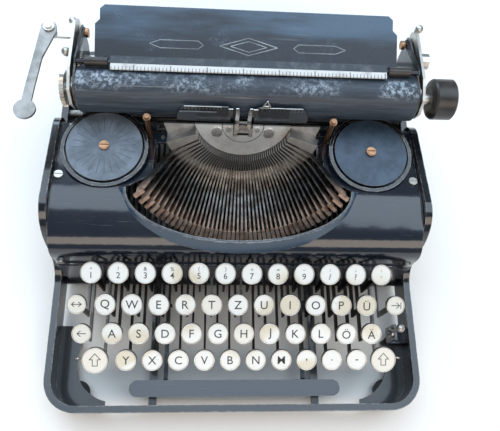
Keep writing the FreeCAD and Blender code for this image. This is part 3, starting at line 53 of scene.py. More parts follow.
class Wire:
    """One output socket in a material, with arithmetic that adds Math nodes."""

    def __init__(self, tree, socket=None):
        self.tree = tree
        self.socket = socket

    def node(self, kind, settings=None, links=None, out=0):
        made = self.tree.nodes.new(kind)
        for name, value in (settings or {}).items():
            setattr(made, name, value)
        for name, value in (links or {}).items():
            target = made.inputs[name]
            if isinstance(value, Wire):
                self.tree.links.new(value.socket, target)
            elif is_colour(value) and len(value) == 3 and target.type == "RGBA":
                target.default_value = (*value, 1.0)
            else:
                target.default_value = value
        return Wire(self.tree, made.outputs[out])

    def math(self, operation, other=None, flipped=False):
        first, second = (other, self) if flipped else (self, other)
        links = {0: first}
        if second is not None:
            links[1] = second
        return self.node("ShaderNodeMath", {"operation": operation}, links)

    def __add__(self, other):
        return self.math("ADD", other)

    __radd__ = __add__

    def __sub__(self, other):
        return self.math("SUBTRACT", other)

    def __rsub__(self, other):
        return self.math("SUBTRACT", other, True)

    def __mul__(self, other):
        return self.math("MULTIPLY", other)

    __rmul__ = __mul__

    def __truediv__(self, other):
        return self.math("DIVIDE", other)

    def __pow__(self, other):
        return self.math("POWER", other)

    def __gt__(self, other):
        return self.math("GREATER_THAN", other)

    def __lt__(self, other):
        return self.math("LESS_THAN", other)

    def most(self, other):
        return self.math("MAXIMUM", other)

    def clamp(self):
        return self.math("MINIMUM", 1.0).math("MAXIMUM", 0.0)

    def fade(self, low, high):
        """0 below low, 1 above high, smooth between."""
        links = {"Value": self, "From Min": low, "From Max": high}
        return self.node("ShaderNodeMapRange", {"interpolation_type": "SMOOTHSTEP"}, links)

    def vector(self, operation, other=None):
        """Vector Math; a length or a dot product gives one number."""
        links = {0: self} if other is None else {0: self, 1: other}
        out = "Value" if operation in ("DOT_PRODUCT", "LENGTH") else "Vector"
        return self.node("ShaderNodeVectorMath", {"operation": operation}, links, out)

    def part(self, axis):
        """One of X, Y and Z."""
        return self.node("ShaderNodeSeparateXYZ", None, {0: self}, axis)

    def mixed(self, other, factor):
        """This colour, turned into another by a factor."""
        return self.node("ShaderNodeMix", {"data_type": "RGBA"}, {0: factor, 6: self, 7: other}, 2)


print("the Wire class has", sum(callable(value) for value in vars(Wire).values()), "methods")

# %% [markdown]
# ## Patterns that every finish shares
# Old enamel and old metal differ in colour, but their age shows in the same few ways: soft clouds of
# grime, fine scratches, and bright edges where the finish has rubbed away. Each is made once here from
# Object coordinates, so it stays fixed to the piece when the piece moves.

# %% Shared patterns
def start_material(name):
    made = bpy.data.materials.new(name)
    made.use_nodes = True
    tree = made.node_tree
    shader = tree.nodes["Principled BSDF"]
    wire = Wire(tree)
    place = wire.node("ShaderNodeTexCoord", out="Object")
    return made, shader, wire, place


def tinted(wire, colour):
    """A plain colour as a socket, ready to be mixed."""
    made = wire.node("ShaderNodeRGB")
    made.socket.default_value = (*colour, 1.0)
    return made


def stretched(place, scale, turn=(0, 0, 0)):
    return place.node("ShaderNodeMapping", None, {"Vector": place, "Scale": scale, "Rotation": turn})


def noise(place, scale, detail=4.0, rough=0.55):
    links = {"Vector": place, "Scale": scale, "Detail": detail, "Roughness": rough}
    return place.node("ShaderNodeTexNoise", None, links, "Fac")


def scratches(place, scale, thin=0.5, turn=(0.3, 0.2, 0.9)):
    """Thin bright lines: a noise stretched far along one direction, kept only where it peaks."""
    long_way = stretched(place, (scale * 0.04, scale, scale), turn)
    return noise(long_way, 1.0, 3.0, 0.6).fade(0.66 - 0.04 * thin, 0.72)


def worn_edges(place, reach):
    """Bright where the surface turns sharply, broken up by noise."""
    soft = place.node("ShaderNodeBevel", {"samples": 4}, {"Radius": reach}, "Normal")
    hard = place.node("ShaderNodeNewGeometry", out="Normal")
    edge = (1.0 - soft.vector("DOT_PRODUCT", hard)).fade(0.02, 0.22)
    broken = noise(place, 260.0, 5.0, 0.7).fade(0.38, 0.60)
    return edge * broken


def finish(made, shader, base, rough, metal=0.0, bump=None, strength=0.2, depth=0.0002):
    tree = made.node_tree
    for name, value in (("Base Color", base), ("Roughness", rough), ("Metallic", metal)):
        target = shader.inputs[name]
        if isinstance(value, Wire):
            tree.links.new(value.socket, target)
        elif is_colour(value):
            target.default_value = (*value, 1.0)
        else:
            target.default_value = value
    if bump is not None:
        links = {"Height": bump, "Strength": strength, "Distance": depth}
        normal = bump.node("ShaderNodeBump", None, links, "Normal")
        tree.links.new(normal.socket, shader.inputs["Normal"])
    return made


def dress(material, *names):
    for name in names:
        data = NODES[name].data
        data.materials.clear()
        data.materials.append(material)


print("shared patterns ready")

# %% [markdown]
# ## Black lacquer
# The shell was dipped in black stoving enamel and polished. Seventy years on it is still glossy, but dust
# dulls the flat parts, the rims have lost their paint down to grey metal, and small chips show rust. A
# clear coat over a dark base gives the deep reflection; the wear mask then swaps colour, roughness and
# metal together.

# %% Lacquer
def lacquer(name, colour, gloss=0.16, chips=1.0, dust=0.35, reach=0.0013, scratch=0.5):
    made, shader, wire, place = start_material(name)
    cloud = noise(place, 14.0, 6.0, 0.6)
    fine = noise(place, 420.0, 3.0, 0.6)
    edge = worn_edges(place, reach) * chips
    chip = noise(place, 75.0, 8.0, 0.72).fade(0.715, 0.735) * (chips * 0.8)
    bare = edge.most(chip).clamp()
    lines = scratches(place, 700.0) * scratch
    film = cloud.fade(0.42, 0.75) * dust
    tint = tinted(wire, colour)
    grimy = tint.mixed((0.050, 0.050, 0.050), film * 0.30)
    scored = grimy.mixed((0.15, 0.16, 0.18), lines * 0.45)
    rusty = noise(place, 160.0, 4.0).fade(0.45, 0.6)
    metal_tint = tinted(wire, (0.42, 0.40, 0.37))
    metal_colour = metal_tint.mixed((0.16, 0.085, 0.045), rusty)
    base = scored.mixed(metal_colour, bare)
    rough = (film * 0.35 + gloss + lines * 0.2 + bare * 0.35 + fine * 0.05).clamp()
    height = fine * 0.12 - bare * 0.8 - lines * 0.3 + cloud * 0.4
    shader.inputs["Coat Roughness"].default_value = 0.08
    coat = (1.0 - bare) * 0.55
    made.node_tree.links.new(coat.socket, shader.inputs["Coat Weight"])
    return finish(made, shader, base, rough, bare * 0.75, height, 0.25, 0.00012)


LACQUERS = [
    ("black_enamel", (0.003, 0.005, 0.009), (0.12, 1.0, 0.15), ["base_frame", "basket_lip", "spool_cups"]),
    ("cover_enamel", (0.006, 0.010, 0.018), (0.11, 0.8, 0.2), ["top_cover"]),
    ("blue_enamel", (0.010, 0.018, 0.034), (0.30, 0.7, 0.5), ["key_comb", "lever_brackets", "basket_apron"]),
    ("inner_enamel", (0.010, 0.012, 0.016), (0.35, 0.9, 0.8), ["frame_bars", "lift_frame", "carriage_bed"]),
    ("holder_enamel", (0.010, 0.012, 0.016), (0.28, 1.0, 0.4, 0.0006), ["card_holders"]),
    ("stop_enamel", (0.02, 0.02, 0.022), (0.3, 1.0, 0.4, 0.0006), ["margin_stop_left", "margin_stop_right"]),
    ("space_bar_black", (0.005, 0.011, 0.024), (0.12, 0.25, 0.2, 0.0008, 0.6), ["space_bar"]),
]
for enamel_name, colour, wear, enamel_nodes in LACQUERS:
    dress(lacquer(enamel_name, colour, *wear), *enamel_nodes)
print("lacquers", len(LACQUERS))

# %% [markdown]
# ## Paper table
# The paper table is a big plain plate that faces the window. Its colour has a painted blue reflection of the
# sky that grows towards the top edge, where paper slides in, and stays nearly black low down. Height on the
# plate drives that fade, with a stretched noise added so that the border wanders.

# %% Paper table finish
WANDER = 30.0 * MM
FADE_START = 8.0 * MM


def height_range(name, axis):
    """Lowest and highest value of a CAD node along one axis, in metres."""
    values = [corner[axis] for corner in NODES[name].bound_box]
    return min(values), max(values)


def table_lacquer(name):
    """Blue-black scratched and rubbed enamel, with a painted blue sky reflection growing towards the top
    edge where the paper slides in.
    """
    made, shader, wire, place = start_material(name)
    low, high = height_range("paper_table", 2)
    up = place.part("Z")
    wave = noise(stretched(place, (4.0, 26.0, 26.0)), 2.0, 4.0, 0.6)
    # Painted sky reflection: the blue grows with height on the plate, so the top edge is painted lighter.
    sky_sheen_rise = (up + (wave - 0.5) * WANDER).fade(low + FADE_START, high)
    fine = noise(place, 420.0, 5.0, 0.75).fade(0.42, 0.68)
    cloud = noise(place, 26.0, 5.0, 0.6)
    lines = scratches(place, 300.0, 0.8, (0.0, 0.0, 0.1))
    tint = tinted(wire, (0.003, 0.007, 0.016))
    sky_reflection_colour = tint.mixed((0.050, 0.098, 0.155), sky_sheen_rise)
    frosted = sky_reflection_colour.mixed((0.13, 0.19, 0.25), cloud.fade(0.52, 0.72) * fine * 0.8)
    marked = frosted.mixed((0.22, 0.26, 0.30), lines * 0.35)
    base = marked.mixed((0.20, 0.19, 0.17), worn_edges(place, 0.0011) * 0.8)
    rough = (cloud * 0.16 + 0.20 + fine * 0.08).clamp()
    return finish(made, shader, base, rough, 0.0, fine * 0.2, 0.2, 0.0001)


dress(table_lacquer("table_enamel"), "paper_table")
print("paper table from", height_range("paper_table", 2))

# %% [markdown]
# ## Nickel, steel and copper
# Bright parts are nickel-plated brass or steel: warm grey, cloudy, pitted where damp got in. One function
# makes them all from a bright and a dull colour, because only the colours, the roughness and the share of
# rust differ.

# %% Metals
def old_metal(name, bright, dull, rough=0.28, rust=0.3):
    made, shader, wire, place = start_material(name)
    cloud = noise(place, 60.0, 6.0, 0.65)
    fine = noise(place, 900.0, 3.0, 0.7)
    tint = tinted(wire, bright)
    stained = tint.mixed(dull, cloud.fade(0.35, 0.70))
    spots = noise(place, 210.0, 7.0, 0.75).fade(0.62, 0.72) * rust
    base = stained.mixed((0.16, 0.08, 0.04), spots)
    roughness = (cloud * 0.25 + rough + spots * 0.5 - 0.08 + fine * 0.08).clamp()
    height = fine * 0.3 - spots * 0.5 + cloud * 0.2
    return finish(made, shader, base, roughness, 1.0 - spots * 0.8, height, 0.3, 0.0001)


METALS = [
    ("old_nickel", (0.62, 0.60, 0.56), (0.40, 0.37, 0.33), 0.28, 0.3,
     ["carriage_ends", "carriage_fittings", "clamp_nut", "line_space_lever", "paper_release_lever",
      "carriage_release_lever", "cover_screws", "ribbon_selector", "spring_drum", "platen_ratchet",
      "platen_shaft"]),
    ("lever_nickel", (0.36, 0.35, 0.33), (0.20, 0.19, 0.175), 0.42, 0.3, ["return_lever"]),
    ("ring_nickel", (0.66, 0.65, 0.62), (0.42, 0.40, 0.36), 0.22, 0.35, ["key_rings"]),
    ("dark_steel", (0.050, 0.045, 0.040), (0.024, 0.021, 0.019), 0.50, 0.7, ["key_levers"]),
    ("rod_steel", (0.32, 0.31, 0.29), (0.16, 0.15, 0.14), 0.32, 0.4, ["carriage_rails", "lever_shaft"]),
    ("bearing_steel", (0.30, 0.29, 0.27), (0.15, 0.14, 0.13), 0.36, 0.4, ["carriage_bearings"]),
    ("arm_steel", (0.08, 0.085, 0.09), (0.04, 0.04, 0.045), 0.34, 0.5, ["space_bar_arms", "paper_bail"]),
    ("segment_metal", (0.52, 0.52, 0.51), (0.33, 0.31, 0.28), 0.40, 0.45, ["type_segment"]),
    ("screw_metal", (0.78, 0.78, 0.76), (0.50, 0.47, 0.42), 0.20, 0.5, ["segment_screws", "segment_wire"]),
    ("guide_metal", (0.60, 0.58, 0.54), (0.40, 0.37, 0.33), 0.28, 0.3, ["type_guide"]),
    ("copper_post", (0.50, 0.29, 0.17), (0.26, 0.14, 0.08), 0.38, 0.5, ["ribbon_posts", "spool_studs"]),
    ("bell_metal", (0.55, 0.46, 0.28), (0.34, 0.28, 0.17), 0.25, 0.2, ["bell"]),
]
metals = {}
for metal_name, bright, dull, rough, rust, metal_nodes in METALS:
    metals[metal_name] = old_metal(metal_name, bright, dull, rough, rust)
    dress(metals[metal_name], *metal_nodes)
nickel = metals["old_nickel"]
ring_nickel = metals["ring_nickel"]
print("metals", len(metals))

# %% [markdown]
# ## Type basket
# The typebars are plain hardened steel that has browned, most of all at their heads, where fingers and
# ink reached; the brown of the heads is painted pale, as painted light on their upturned faces. All the bars
# swing round one leaning axis, so the distance along that axis tells a shader how far along a bar a point
# lies. The distance away from the axis draws the round line where a second plate is let into the first.

# %% Typebars and their plate
LEAN = math.radians(65.0)
PRINT_POINT = Vector((1.7, 59.4, 118.5)) * MM
BASKET_OUT = (0.0, -math.sin(LEAN), math.cos(LEAN))
BASKET_CENTRE = PRINT_POINT + Vector(BASKET_OUT) * 6.8 * MM
HEAD_REACH = (22.0 * MM, 34.0 * MM)
INLET_DROP = 9.0 * MM
INLET_RADIUS = 14.9 * MM
INLET_LINE = 0.5 * MM
PLATE_RIM = (28.0 * MM, 34.5 * MM)


def axis_distances(place, centre, axis):
    """How far a point lies along an axis, and how far away from it."""
    away = place.vector("SUBTRACT", tuple(centre))
    along = away.vector("DOT_PRODUCT", axis)
    whole = away.vector("LENGTH")
    return along, (whole * whole - along * along).most(0.0) ** 0.5


def bar_metal(name):
    made, shader, wire, place = start_material(name)
    along = place.vector("SUBTRACT", tuple(BASKET_CENTRE)).vector("DOT_PRODUCT", BASKET_OUT)
    head = along.fade(*HEAD_REACH)
    cloud = noise(place, 150.0, 6.0, 0.7)
    fine = noise(place, 1400.0, 3.0, 0.7)
    steel = tinted(wire, (0.23, 0.22, 0.205))
    worn = steel.mixed((0.085, 0.073, 0.062), cloud.fade(0.35, 0.62))
    # The heads' colour is partly rust and partly painted light: it is made pale to stand in for the light on
    # their upturned faces.
    rust = tinted(wire, (0.52, 0.36, 0.27))
    head_rust_and_light = rust.mixed((0.26, 0.15, 0.10), cloud.fade(0.42, 0.62))
    base = worn.mixed(head_rust_and_light, head * cloud.fade(0.25, 0.42) * 0.95)
    metal = 1.0 - head * 0.55
    rough = (head * 0.22 + 0.34 + cloud * 0.12).clamp()
    return finish(made, shader, base, rough, metal, fine * 0.4 + cloud, 0.35, 0.0001)


def plate_metal(name):
    """Grey nickel with the fine round line where a second plate is let in."""
    made, shader, wire, place = start_material(name)
    down = Vector((0.0, -math.cos(LEAN), -math.sin(LEAN)))
    centre = BASKET_CENTRE + down * INLET_DROP
    spread = axis_distances(place, centre, BASKET_OUT)[1]
    groove = (spread > INLET_RADIUS) * (spread < INLET_RADIUS + INLET_LINE)
    rim = spread.fade(*PLATE_RIM)
    cloud = noise(place, 60.0, 6.0, 0.65)
    fine = noise(place, 900.0, 3.0, 0.7)
    tint = tinted(wire, (0.86, 0.88, 0.87))
    stained = tint.mixed((0.62, 0.60, 0.55), cloud.fade(0.42, 0.7))
    browner = stained.mixed((0.44, 0.33, 0.24), rim * cloud.fade(0.42, 0.6) * 0.6)
    base = browner.mixed((0.05, 0.045, 0.04), groove)
    rough = (cloud * 0.2 + 0.32).clamp()
    return finish(made, shader, base, rough, 0.85, fine * 0.3 - groove, 0.3, 0.0001)


dress(plate_metal("plate_metal"), "segment_plate")
type_metal = bar_metal("type_metal")
dress(type_metal, "typebars", "typebar_h", "typebar_t")
print("basket axis leans", round(math.degrees(LEAN)), "degrees")

# %% [markdown]
# ## Rubber and ebonite
# The platen is rubber gone hard and grey-blue, scuffed along its length by paper, with a pale mottled
# painted highlight along its crest. The knob and sleeves are ebonite, a hard black rubber that turns brown
# in light. Both are a tint with clouds over it.

# %% Rubber and ebonite
CREST_FRONT = (-11.5 * MM, -4.5 * MM)
CREST_REAR = (1.0 * MM, 7.0 * MM)


def platen_rubber(name):
    made, shader, wire, place = start_material(name)
    streak = noise(stretched(place, (3.0, 60.0, 60.0)), 9.0, 6.0, 0.65)
    cloud = noise(place, 18.0, 6.0, 0.6)
    mottle = noise(place, 330.0, 5.0, 0.75).fade(0.44, 0.62)
    low, high = height_range("platen", 1)
    middle = (low + high) / 2.0
    back = place.part("Y")
    front_side = back.fade(middle + CREST_FRONT[0], middle + CREST_FRONT[1])
    rear_side = back.fade(middle + CREST_REAR[0], middle + CREST_REAR[1])
    crest = front_side * (1.0 - rear_side)
    lines = scratches(place, 520.0, 0.8, (0.0, 0.0, 0.1))
    tint = tinted(wire, (0.016, 0.024, 0.036))
    even = tint.mixed((0.045, 0.062, 0.084), streak.fade(0.36, 0.70))
    # Painted highlight: a pale mottled band along the top of the platen stands in for the light falling on
    # it.
    crest_painted_highlight = even.mixed((0.36, 0.43, 0.50), crest * mottle * cloud.fade(0.38, 0.56))
    marked = crest_painted_highlight.mixed((0.24, 0.235, 0.225), lines * 0.5)
    base = marked.mixed((0.10, 0.075, 0.055), cloud.fade(0.58, 0.78) * 0.5)
    rough = (streak * 0.25 + 0.36 + lines * 0.1).clamp()
    return finish(made, shader, base, rough, 0.0, streak * 0.6 + lines * 0.4, 0.25, 0.0001)


def plain_rubber(name, colour, rough=0.6):
    made, shader, wire, place = start_material(name)
    cloud = noise(place, 45.0, 6.0, 0.6)
    fine = noise(place, 800.0, 3.0, 0.6)
    tint = tinted(wire, colour)
    lighter = tuple(min(1.0, c * 2.6 + 0.02) for c in colour)
    base = tint.mixed(lighter, cloud.fade(0.4, 0.75) * 0.7)
    height = fine * 0.3 + cloud * 0.3
    return finish(made, shader, base, cloud * 0.2 + rough - 0.1, 0.0, height, 0.3, 0.0001)


dress(platen_rubber("platen_rubber"), "platen")
dress(plain_rubber("foot_rubber", (0.018, 0.017, 0.016), 0.75), "rubber_feet")
dress(plain_rubber("roller_rubber", (0.03, 0.03, 0.032), 0.6), "feed_roller")
ebonite = plain_rubber("ebonite", (0.016, 0.013, 0.011), 0.34)
dress(ebonite, "platen_knob", "bail_sleeves")
print("rubber and ebonite set on the platen, feet, roller, knob and sleeves")

# %% [markdown]
# ## Key faces
# The key faces are paper discs under clear celluloid, each yellowed by its own amount. A noise with
# patches as big as a key gives each one its own tone, and a coat over the paper stands in for the
# celluloid.

# %% Key faces
def key_paper(name):
    made, shader, wire, place = start_material(name)
    patch = noise(place, 34.0, 0.0, 0.0)
    stain = noise(place, 320.0, 6.0, 0.65)
    tint = tinted(wire, (0.78, 0.78, 0.74))
    aged = tint.mixed((0.62, 0.54, 0.38), patch.fade(0.50, 0.66) * 0.75)
    base = aged.mixed((0.36, 0.29, 0.20), stain.fade(0.58, 0.75) * 0.35)
    shader.inputs["Coat Weight"].default_value = 0.7
    shader.inputs["Coat Roughness"].default_value = 0.06
    return finish(made, shader, base, 0.32 + stain * 0.12, 0.0, stain, 0.1, 0.0001)


key_face = key_paper("key_face")
dress(key_face, "key_tops")
print("key faces use", key_face.name)

# %% [markdown]
# The paper scale is a painted strip: dark enamel behind, a white edge in front, with a black tick for
# every character. The ticks come from the fraction left over when the distance across is divided by the
# pitch of the type.

# %% Paper scale
TYPE_PITCH = 2.54 * MM
SCALE_BACK = 84.6 * MM


def scale_finish(name):
    made, shader, wire, place = start_material(name)
    east = place.part("X")
    back = place.part("Y")
    white = back < SCALE_BACK
    tick = ((east / TYPE_PITCH).math("FRACT") < 0.22) * (back < SCALE_BACK - 2.0 * MM)
    tenth = ((east / (TYPE_PITCH * 10)).math("FRACT") < 0.035) * (back < SCALE_BACK - 0.8 * MM)
    ink_mask = tick.most(tenth) * white
    cloud = noise(place, 90.0, 6.0, 0.65)
    dark = tinted(wire, (0.018, 0.026, 0.040))
    scuffed = dark.mixed((0.075, 0.085, 0.10), cloud.fade(0.45, 0.7))
    pale = scuffed.mixed((0.62, 0.63, 0.62), white)
    dirty = pale.mixed((0.30, 0.27, 0.23), cloud.fade(0.52, 0.72) * white * 0.6)
    base = dirty.mixed((0.03, 0.03, 0.035), ink_mask * 0.7)
    return finish(made, shader, base, (cloud * 0.2 + 0.3).clamp(), 0.0, cloud, 0.1, 0.0001)


dress(scale_finish("scale_finish"), "bail_scale")
print("a tick every", round(TYPE_PITCH / MM, 2), "mm")

# %% [markdown]
# Some keys are one piece with their lever, so one finish has to be paper on the face, nickel on the ring
# and dark steel on the lever. Distance along the key's own axis and distance from it say which is which.

# %% Keys in one piece with their lever
PITCH = 19.05 * MM
TILT = math.radians(22.0)
KEY_NORMAL = (0.0, -math.sin(TILT), math.cos(TILT))


def disc_mask(place, centre, radius, height):
    """1 inside a short cylinder that stands on a point along the key's own axis."""
    along, across = axis_distances(place, centre, KEY_NORMAL)
    return (across < radius) * (along > height)


def one_piece_key(name, spots):
    """Spots are the key's middle and its radius, in metres."""
    made, shader, wire, place = start_material(name)
    face = None
    metal_part = None
    for centre, radius in spots:
        disc = disc_mask(place, centre, radius - 0.82 * MM, 1.5 * MM)
        ring = disc_mask(place, centre, radius + 0.3 * MM, -0.1 * MM)
        face = disc if face is None else face.most(disc)
        metal_part = ring if metal_part is None else metal_part.most(ring)
    stain = noise(place, 320.0, 6.0, 0.65)
    steel = tinted(wire, (0.12, 0.115, 0.11))
    nickel_part = steel.mixed((0.60, 0.58, 0.54), metal_part)
    stained = nickel_part.mixed((0.30, 0.25, 0.20), stain.fade(0.5, 0.75) * 0.5)
    base = stained.mixed((0.74, 0.71, 0.63), face)
    rough = (stain * 0.12 + 0.30).clamp()
    coat = face * 0.7
    made.node_tree.links.new(coat.socket, shader.inputs["Coat Weight"])
    return finish(made, shader, base, rough, 1.0 - face, stain, 0.1, 0.0001)


ROW_PLACES = {
    "numbers": (-47.7, 75.0),
    "upper": (-68.2, 64.0),
    "home": (-87.4, 54.0),
    "lower": (-105.0, 42.0),
}


def key_spot(column, row):
    """Middle of a key, from its column in key pitches and the name of its row."""
    y, z = ROW_PLACES[row]
    return Vector((column * PITCH, y * MM, z * MM))


KEY_RADIUS = 7.7 * MM
SIDE_RADIUS = 7.0 * MM
SHIFT_RADIUS = 9.5 * MM
MARGIN_COLUMN = -6.05
BACK_COLUMN = -5.88
TAB_COLUMN = 6.14
SHIFT_COLUMNS = (-5.42, 5.82)
SIDE_SPOTS = {
    "key_h": [(key_spot(0.25, "home"), KEY_RADIUS)],
    "key_t": [(key_spot(-1.0, "upper"), KEY_RADIUS)],
    "margin_key": [(key_spot(MARGIN_COLUMN, "upper"), SIDE_RADIUS)],
    "back_key": [(key_spot(BACK_COLUMN, "home"), SIDE_RADIUS)],
    "tab_key": [(key_spot(TAB_COLUMN, "upper"), SIDE_RADIUS)],
    "shift_keys": [(key_spot(column, "lower"), SHIFT_RADIUS) for column in SHIFT_COLUMNS],
}
for node_name, spots in SIDE_SPOTS.items():
    dress(one_piece_key(node_name + "_finish", spots), node_name)
print("keys in one piece:", sorted(SIDE_SPOTS))

# %% [markdown]
# ## Ribbon spools
# The two spools never match: the left one is dull blue-grey tin, the right one blue-black enamel. Both
# hold inked ribbon, nearly black, between their flanges. Fine lines run out from the middle of the upper
# flange.

# %% Spool finishes
SPOOL_X = 99.0
SPOOL_Y = 41.0
SPOOL_TOP = 98.0
RAYS = 24.0


def spool_finish(name, x, tin, rough, lined):
    made, shader, wire, place = start_material(name)
    axis = Vector((x, SPOOL_Y, SPOOL_TOP)) * MM
    away = place.vector("SUBTRACT", tuple(axis))
    east, north, height = away.part("X"), away.part("Y"), away.part("Z")
    angle = north.math("ARCTAN2", east)
    spread = (east * east + north * north) ** 0.5
    ray_ring = (spread > 10.5 * MM) * (spread < 22.5 * MM)
    ray = (angle * RAYS).math("SINE").fade(0.93, 0.99) * ray_ring * lined
    ribbon = (height < -1.1 * MM) * (height > -12.8 * MM) * (spread < 21.5 * MM)
    cloud = noise(place, 70.0, 6.0, 0.65)
    fine = noise(place, 700.0, 4.0, 0.7)
    tint = tinted(wire, tin)
    paler = tuple(c * 1.7 + 0.012 for c in tin)
    clouded = tint.mixed(paler, cloud.fade(0.35, 0.7))
    rubbed = clouded.mixed((0.30, 0.29, 0.27), worn_edges(place, 0.0006) * 0.8)
    rayed = rubbed.mixed(tuple(c * 0.45 for c in tin), ray * 0.8)
    base = rayed.mixed((0.012, 0.011, 0.013), ribbon)
    height_map = fine * 0.2 - ray * 0.6 + cloud * 0.2
    return finish(made, shader, base, (cloud * 0.2 + rough).clamp(), 0.15, height_map, 0.3, 0.0002)


dress(spool_finish("spool_tin", -SPOOL_X, (0.105, 0.130, 0.158), 0.46, 1.0), "ribbon_spool_left")
dress(spool_finish("spool_enamel", SPOOL_X, (0.028, 0.048, 0.074), 0.32, 0.35), "ribbon_spool_right")
bare_nodes = [name for name, thing in NODES.items() if not thing.data.materials]
print("nodes without a finish:", bare_nodes)

# %% [markdown]
# ## Helpers for new pieces
# A new piece starts as a bmesh, gets its material, and rides on the body that carries it. Its place stays
# in its mesh, so the object itself sits at the origin, as the built pieces do.

# %% Piece helpers
def piece(name, mesh_builder, material, body, smooth=True):
    data = bpy.data.meshes.new(name)
    mesh_builder.to_mesh(data)
    mesh_builder.free()
    thing = bpy.data.objects.new(name, data)
    bpy.context.scene.collection.objects.link(thing)
    data.materials.append(material)
    if smooth:
        data.shade_smooth()
        data.set_sharp_from_angle(angle=math.radians(35))
    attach(thing, body)
    print(name, len(data.polygons), "faces on", body)
    return thing


# %% [markdown]
# ## Letters on the keys
# Each key carries its letter printed under the celluloid. A text object gives the letter's outline; it is
# turned into a mesh, laid on the key's tilted face, and joined with the others on the same body, so the
# print is one piece on the frame and one on each of the H and T keys.

# %% Key letters
FACE_UP = 2.93 * MM
FIRST_COLUMN = {"numbers": -5.5, "upper": -5.0, "home": -4.75, "lower": -4.25}
LIVE_KEYS = {("home", 5): "button_h", ("upper", 4): "button_t"}
LETTER, DIGIT, UPPER_SIGN = 8.6 * MM, 6.2 * MM, 4.0 * MM
LEGENDS = {
    "numbers": ["1", "2", "3", "4", "5", "6", "7", "8", "9", "/", "?", "`"],
    "upper": list("QWERTZUIOP") + ["Ü"],
    "home": list("ASDFGHJKL") + ["Ö", "Ä"],
    "lower": list("YXCVBNM") + [",", ".", "-"],
}
SHIFTED = ['"', "!", "&", "%", "(", ")", "+", "=", "_", ":", ";", "'"]


def key_matrix(column, row):
    """The tilted plane of a key's face, just under its celluloid."""
    tilt = Matrix.Rotation(TILT, 4, "X") @ Matrix.Translation((0, 0, FACE_UP))
    return Matrix.Translation(key_spot(column, row)) @ tilt


def glyph_mesh(text, size):
    curve = bpy.data.curves.new("glyph", "FONT")
    curve.body = text
    curve.size = size
    curve.align_x = "CENTER"
    curve.align_y = "CENTER"
    curve.resolution_u = 3
    curve.extrude = 0.02 * MM
    curve.offset = size * 0.004
    holder = bpy.data.objects.new("glyph", curve)
    bpy.context.scene.collection.objects.link(holder)
    bpy.context.view_layer.update()
    mesh = bpy.data.meshes.new_from_object(holder)
    bpy.data.objects.remove(holder)
    bpy.data.curves.remove(curve)
    return mesh


def add_glyph(builder, text, size, matrix, shift=(0.0, 0.0)):
    mesh = glyph_mesh(text, size)
    xs = [v.co.x for v in mesh.vertices]
    ys = [v.co.y for v in mesh.vertices]
    middle = Vector(((min(xs) + max(xs)) / 2, (min(ys) + max(ys)) / 2, 0))
    mesh.transform(matrix @ Matrix.Translation(Vector((*shift, 0)) - middle))
    builder.from_mesh(mesh)
    bpy.data.meshes.remove(mesh)


def ink(name):
    made, shader, wire, place = start_material(name)
    worn = noise(place, 900.0, 4.0, 0.7)
    tint = tinted(wire, (0.02, 0.02, 0.022))
    base = tint.mixed((0.12, 0.11, 0.10), worn.fade(0.55, 0.7))
    return finish(made, shader, base, worn * 0.2 + 0.4)


key_ink = ink("key_ink")
builders = {"frame": bmesh.new(), "button_h": bmesh.new(), "button_t": bmesh.new()}
for row, first in FIRST_COLUMN.items():
    for index, text in enumerate(LEGENDS[row]):
        builder = builders[LIVE_KEYS.get((row, index), "frame")]
        matrix = key_matrix(first + index, row)
        if row == "numbers":
            add_glyph(builder, text, DIGIT, matrix, (0, -1.7 * MM))
            add_glyph(builder, SHIFTED[index], UPPER_SIGN, matrix, (0, 3.0 * MM))
        else:
            add_glyph(builder, text, LETTER, matrix)
for body, builder in builders.items():
    piece("letters_" + body, builder, key_ink, body, False)

# %% [markdown]
# ## Small pieces made of boxes, rods and bent wire
# Three builders cover most of the trim: a box, a rod between two points, and a wire that follows a path.
# Each adds to a bmesh that is already in place, so many small pieces can be joined into one object.

# %% Trim builders
def add_box(builder, size, centre, turn=None):
    spot = Matrix.Translation(Vector(centre)) @ (turn or Matrix.Identity(4))
    matrix = spot @ Matrix.Diagonal((*size, 1.0))
    return bmesh.ops.create_cube(builder, size=1.0, matrix=matrix)["verts"]


def add_rod(builder, start, end, radius, tip=None, segments=20):
    start, end = Vector(start), Vector(end)
    way = end - start
    matrix = Matrix.Translation((start + end) / 2) @ way.to_track_quat("Z", "Y").to_matrix().to_4x4()
    bmesh.ops.create_cone(builder, cap_ends=True, segments=segments, radius1=radius,
                          radius2=radius if tip is None else tip, depth=way.length, matrix=matrix)


def add_wire(builder, points, radius):
    curve = bpy.data.curves.new("wire", "CURVE")
    curve.dimensions = "3D"
    curve.bevel_depth = radius
    curve.bevel_resolution = 2
    line = curve.splines.new("POLY")
    line.points.add(len(points) - 1)
    for spot, point in zip(line.points, points):
        spot.co = (*point, 1.0)
    holder = bpy.data.objects.new("wire", curve)
    bpy.context.scene.collection.objects.link(holder)
    bpy.context.view_layer.update()
    mesh = bpy.data.meshes.new_from_object(holder)
    builder.from_mesh(mesh)
    bpy.data.objects.remove(holder)
    bpy.data.curves.remove(curve)
    bpy.data.meshes.remove(mesh)


def mm(*values):
    """A place or a size given in millimetres."""
    return Vector([value * MM for value in values])


print("builders ready: box, rod, wire")

# %% [markdown]
# ## Lines on the paper table
# Makers put a transfer in silver on the paper table. Here it is only a pair of long fine lines on each
# side that end in a point, with a plain lozenge between them. The lines are thin boxes laid on the
# sloping plate.

# %% Paper table lines
TABLE_TILT = math.atan2(17.0, 44.5)
LINE_MIDDLE = 20.0
TABLE_FRAME = Matrix.Translation(mm(5.7, 97.5, 111.5)) @ Matrix.Rotation(TABLE_TILT, 4, "X")


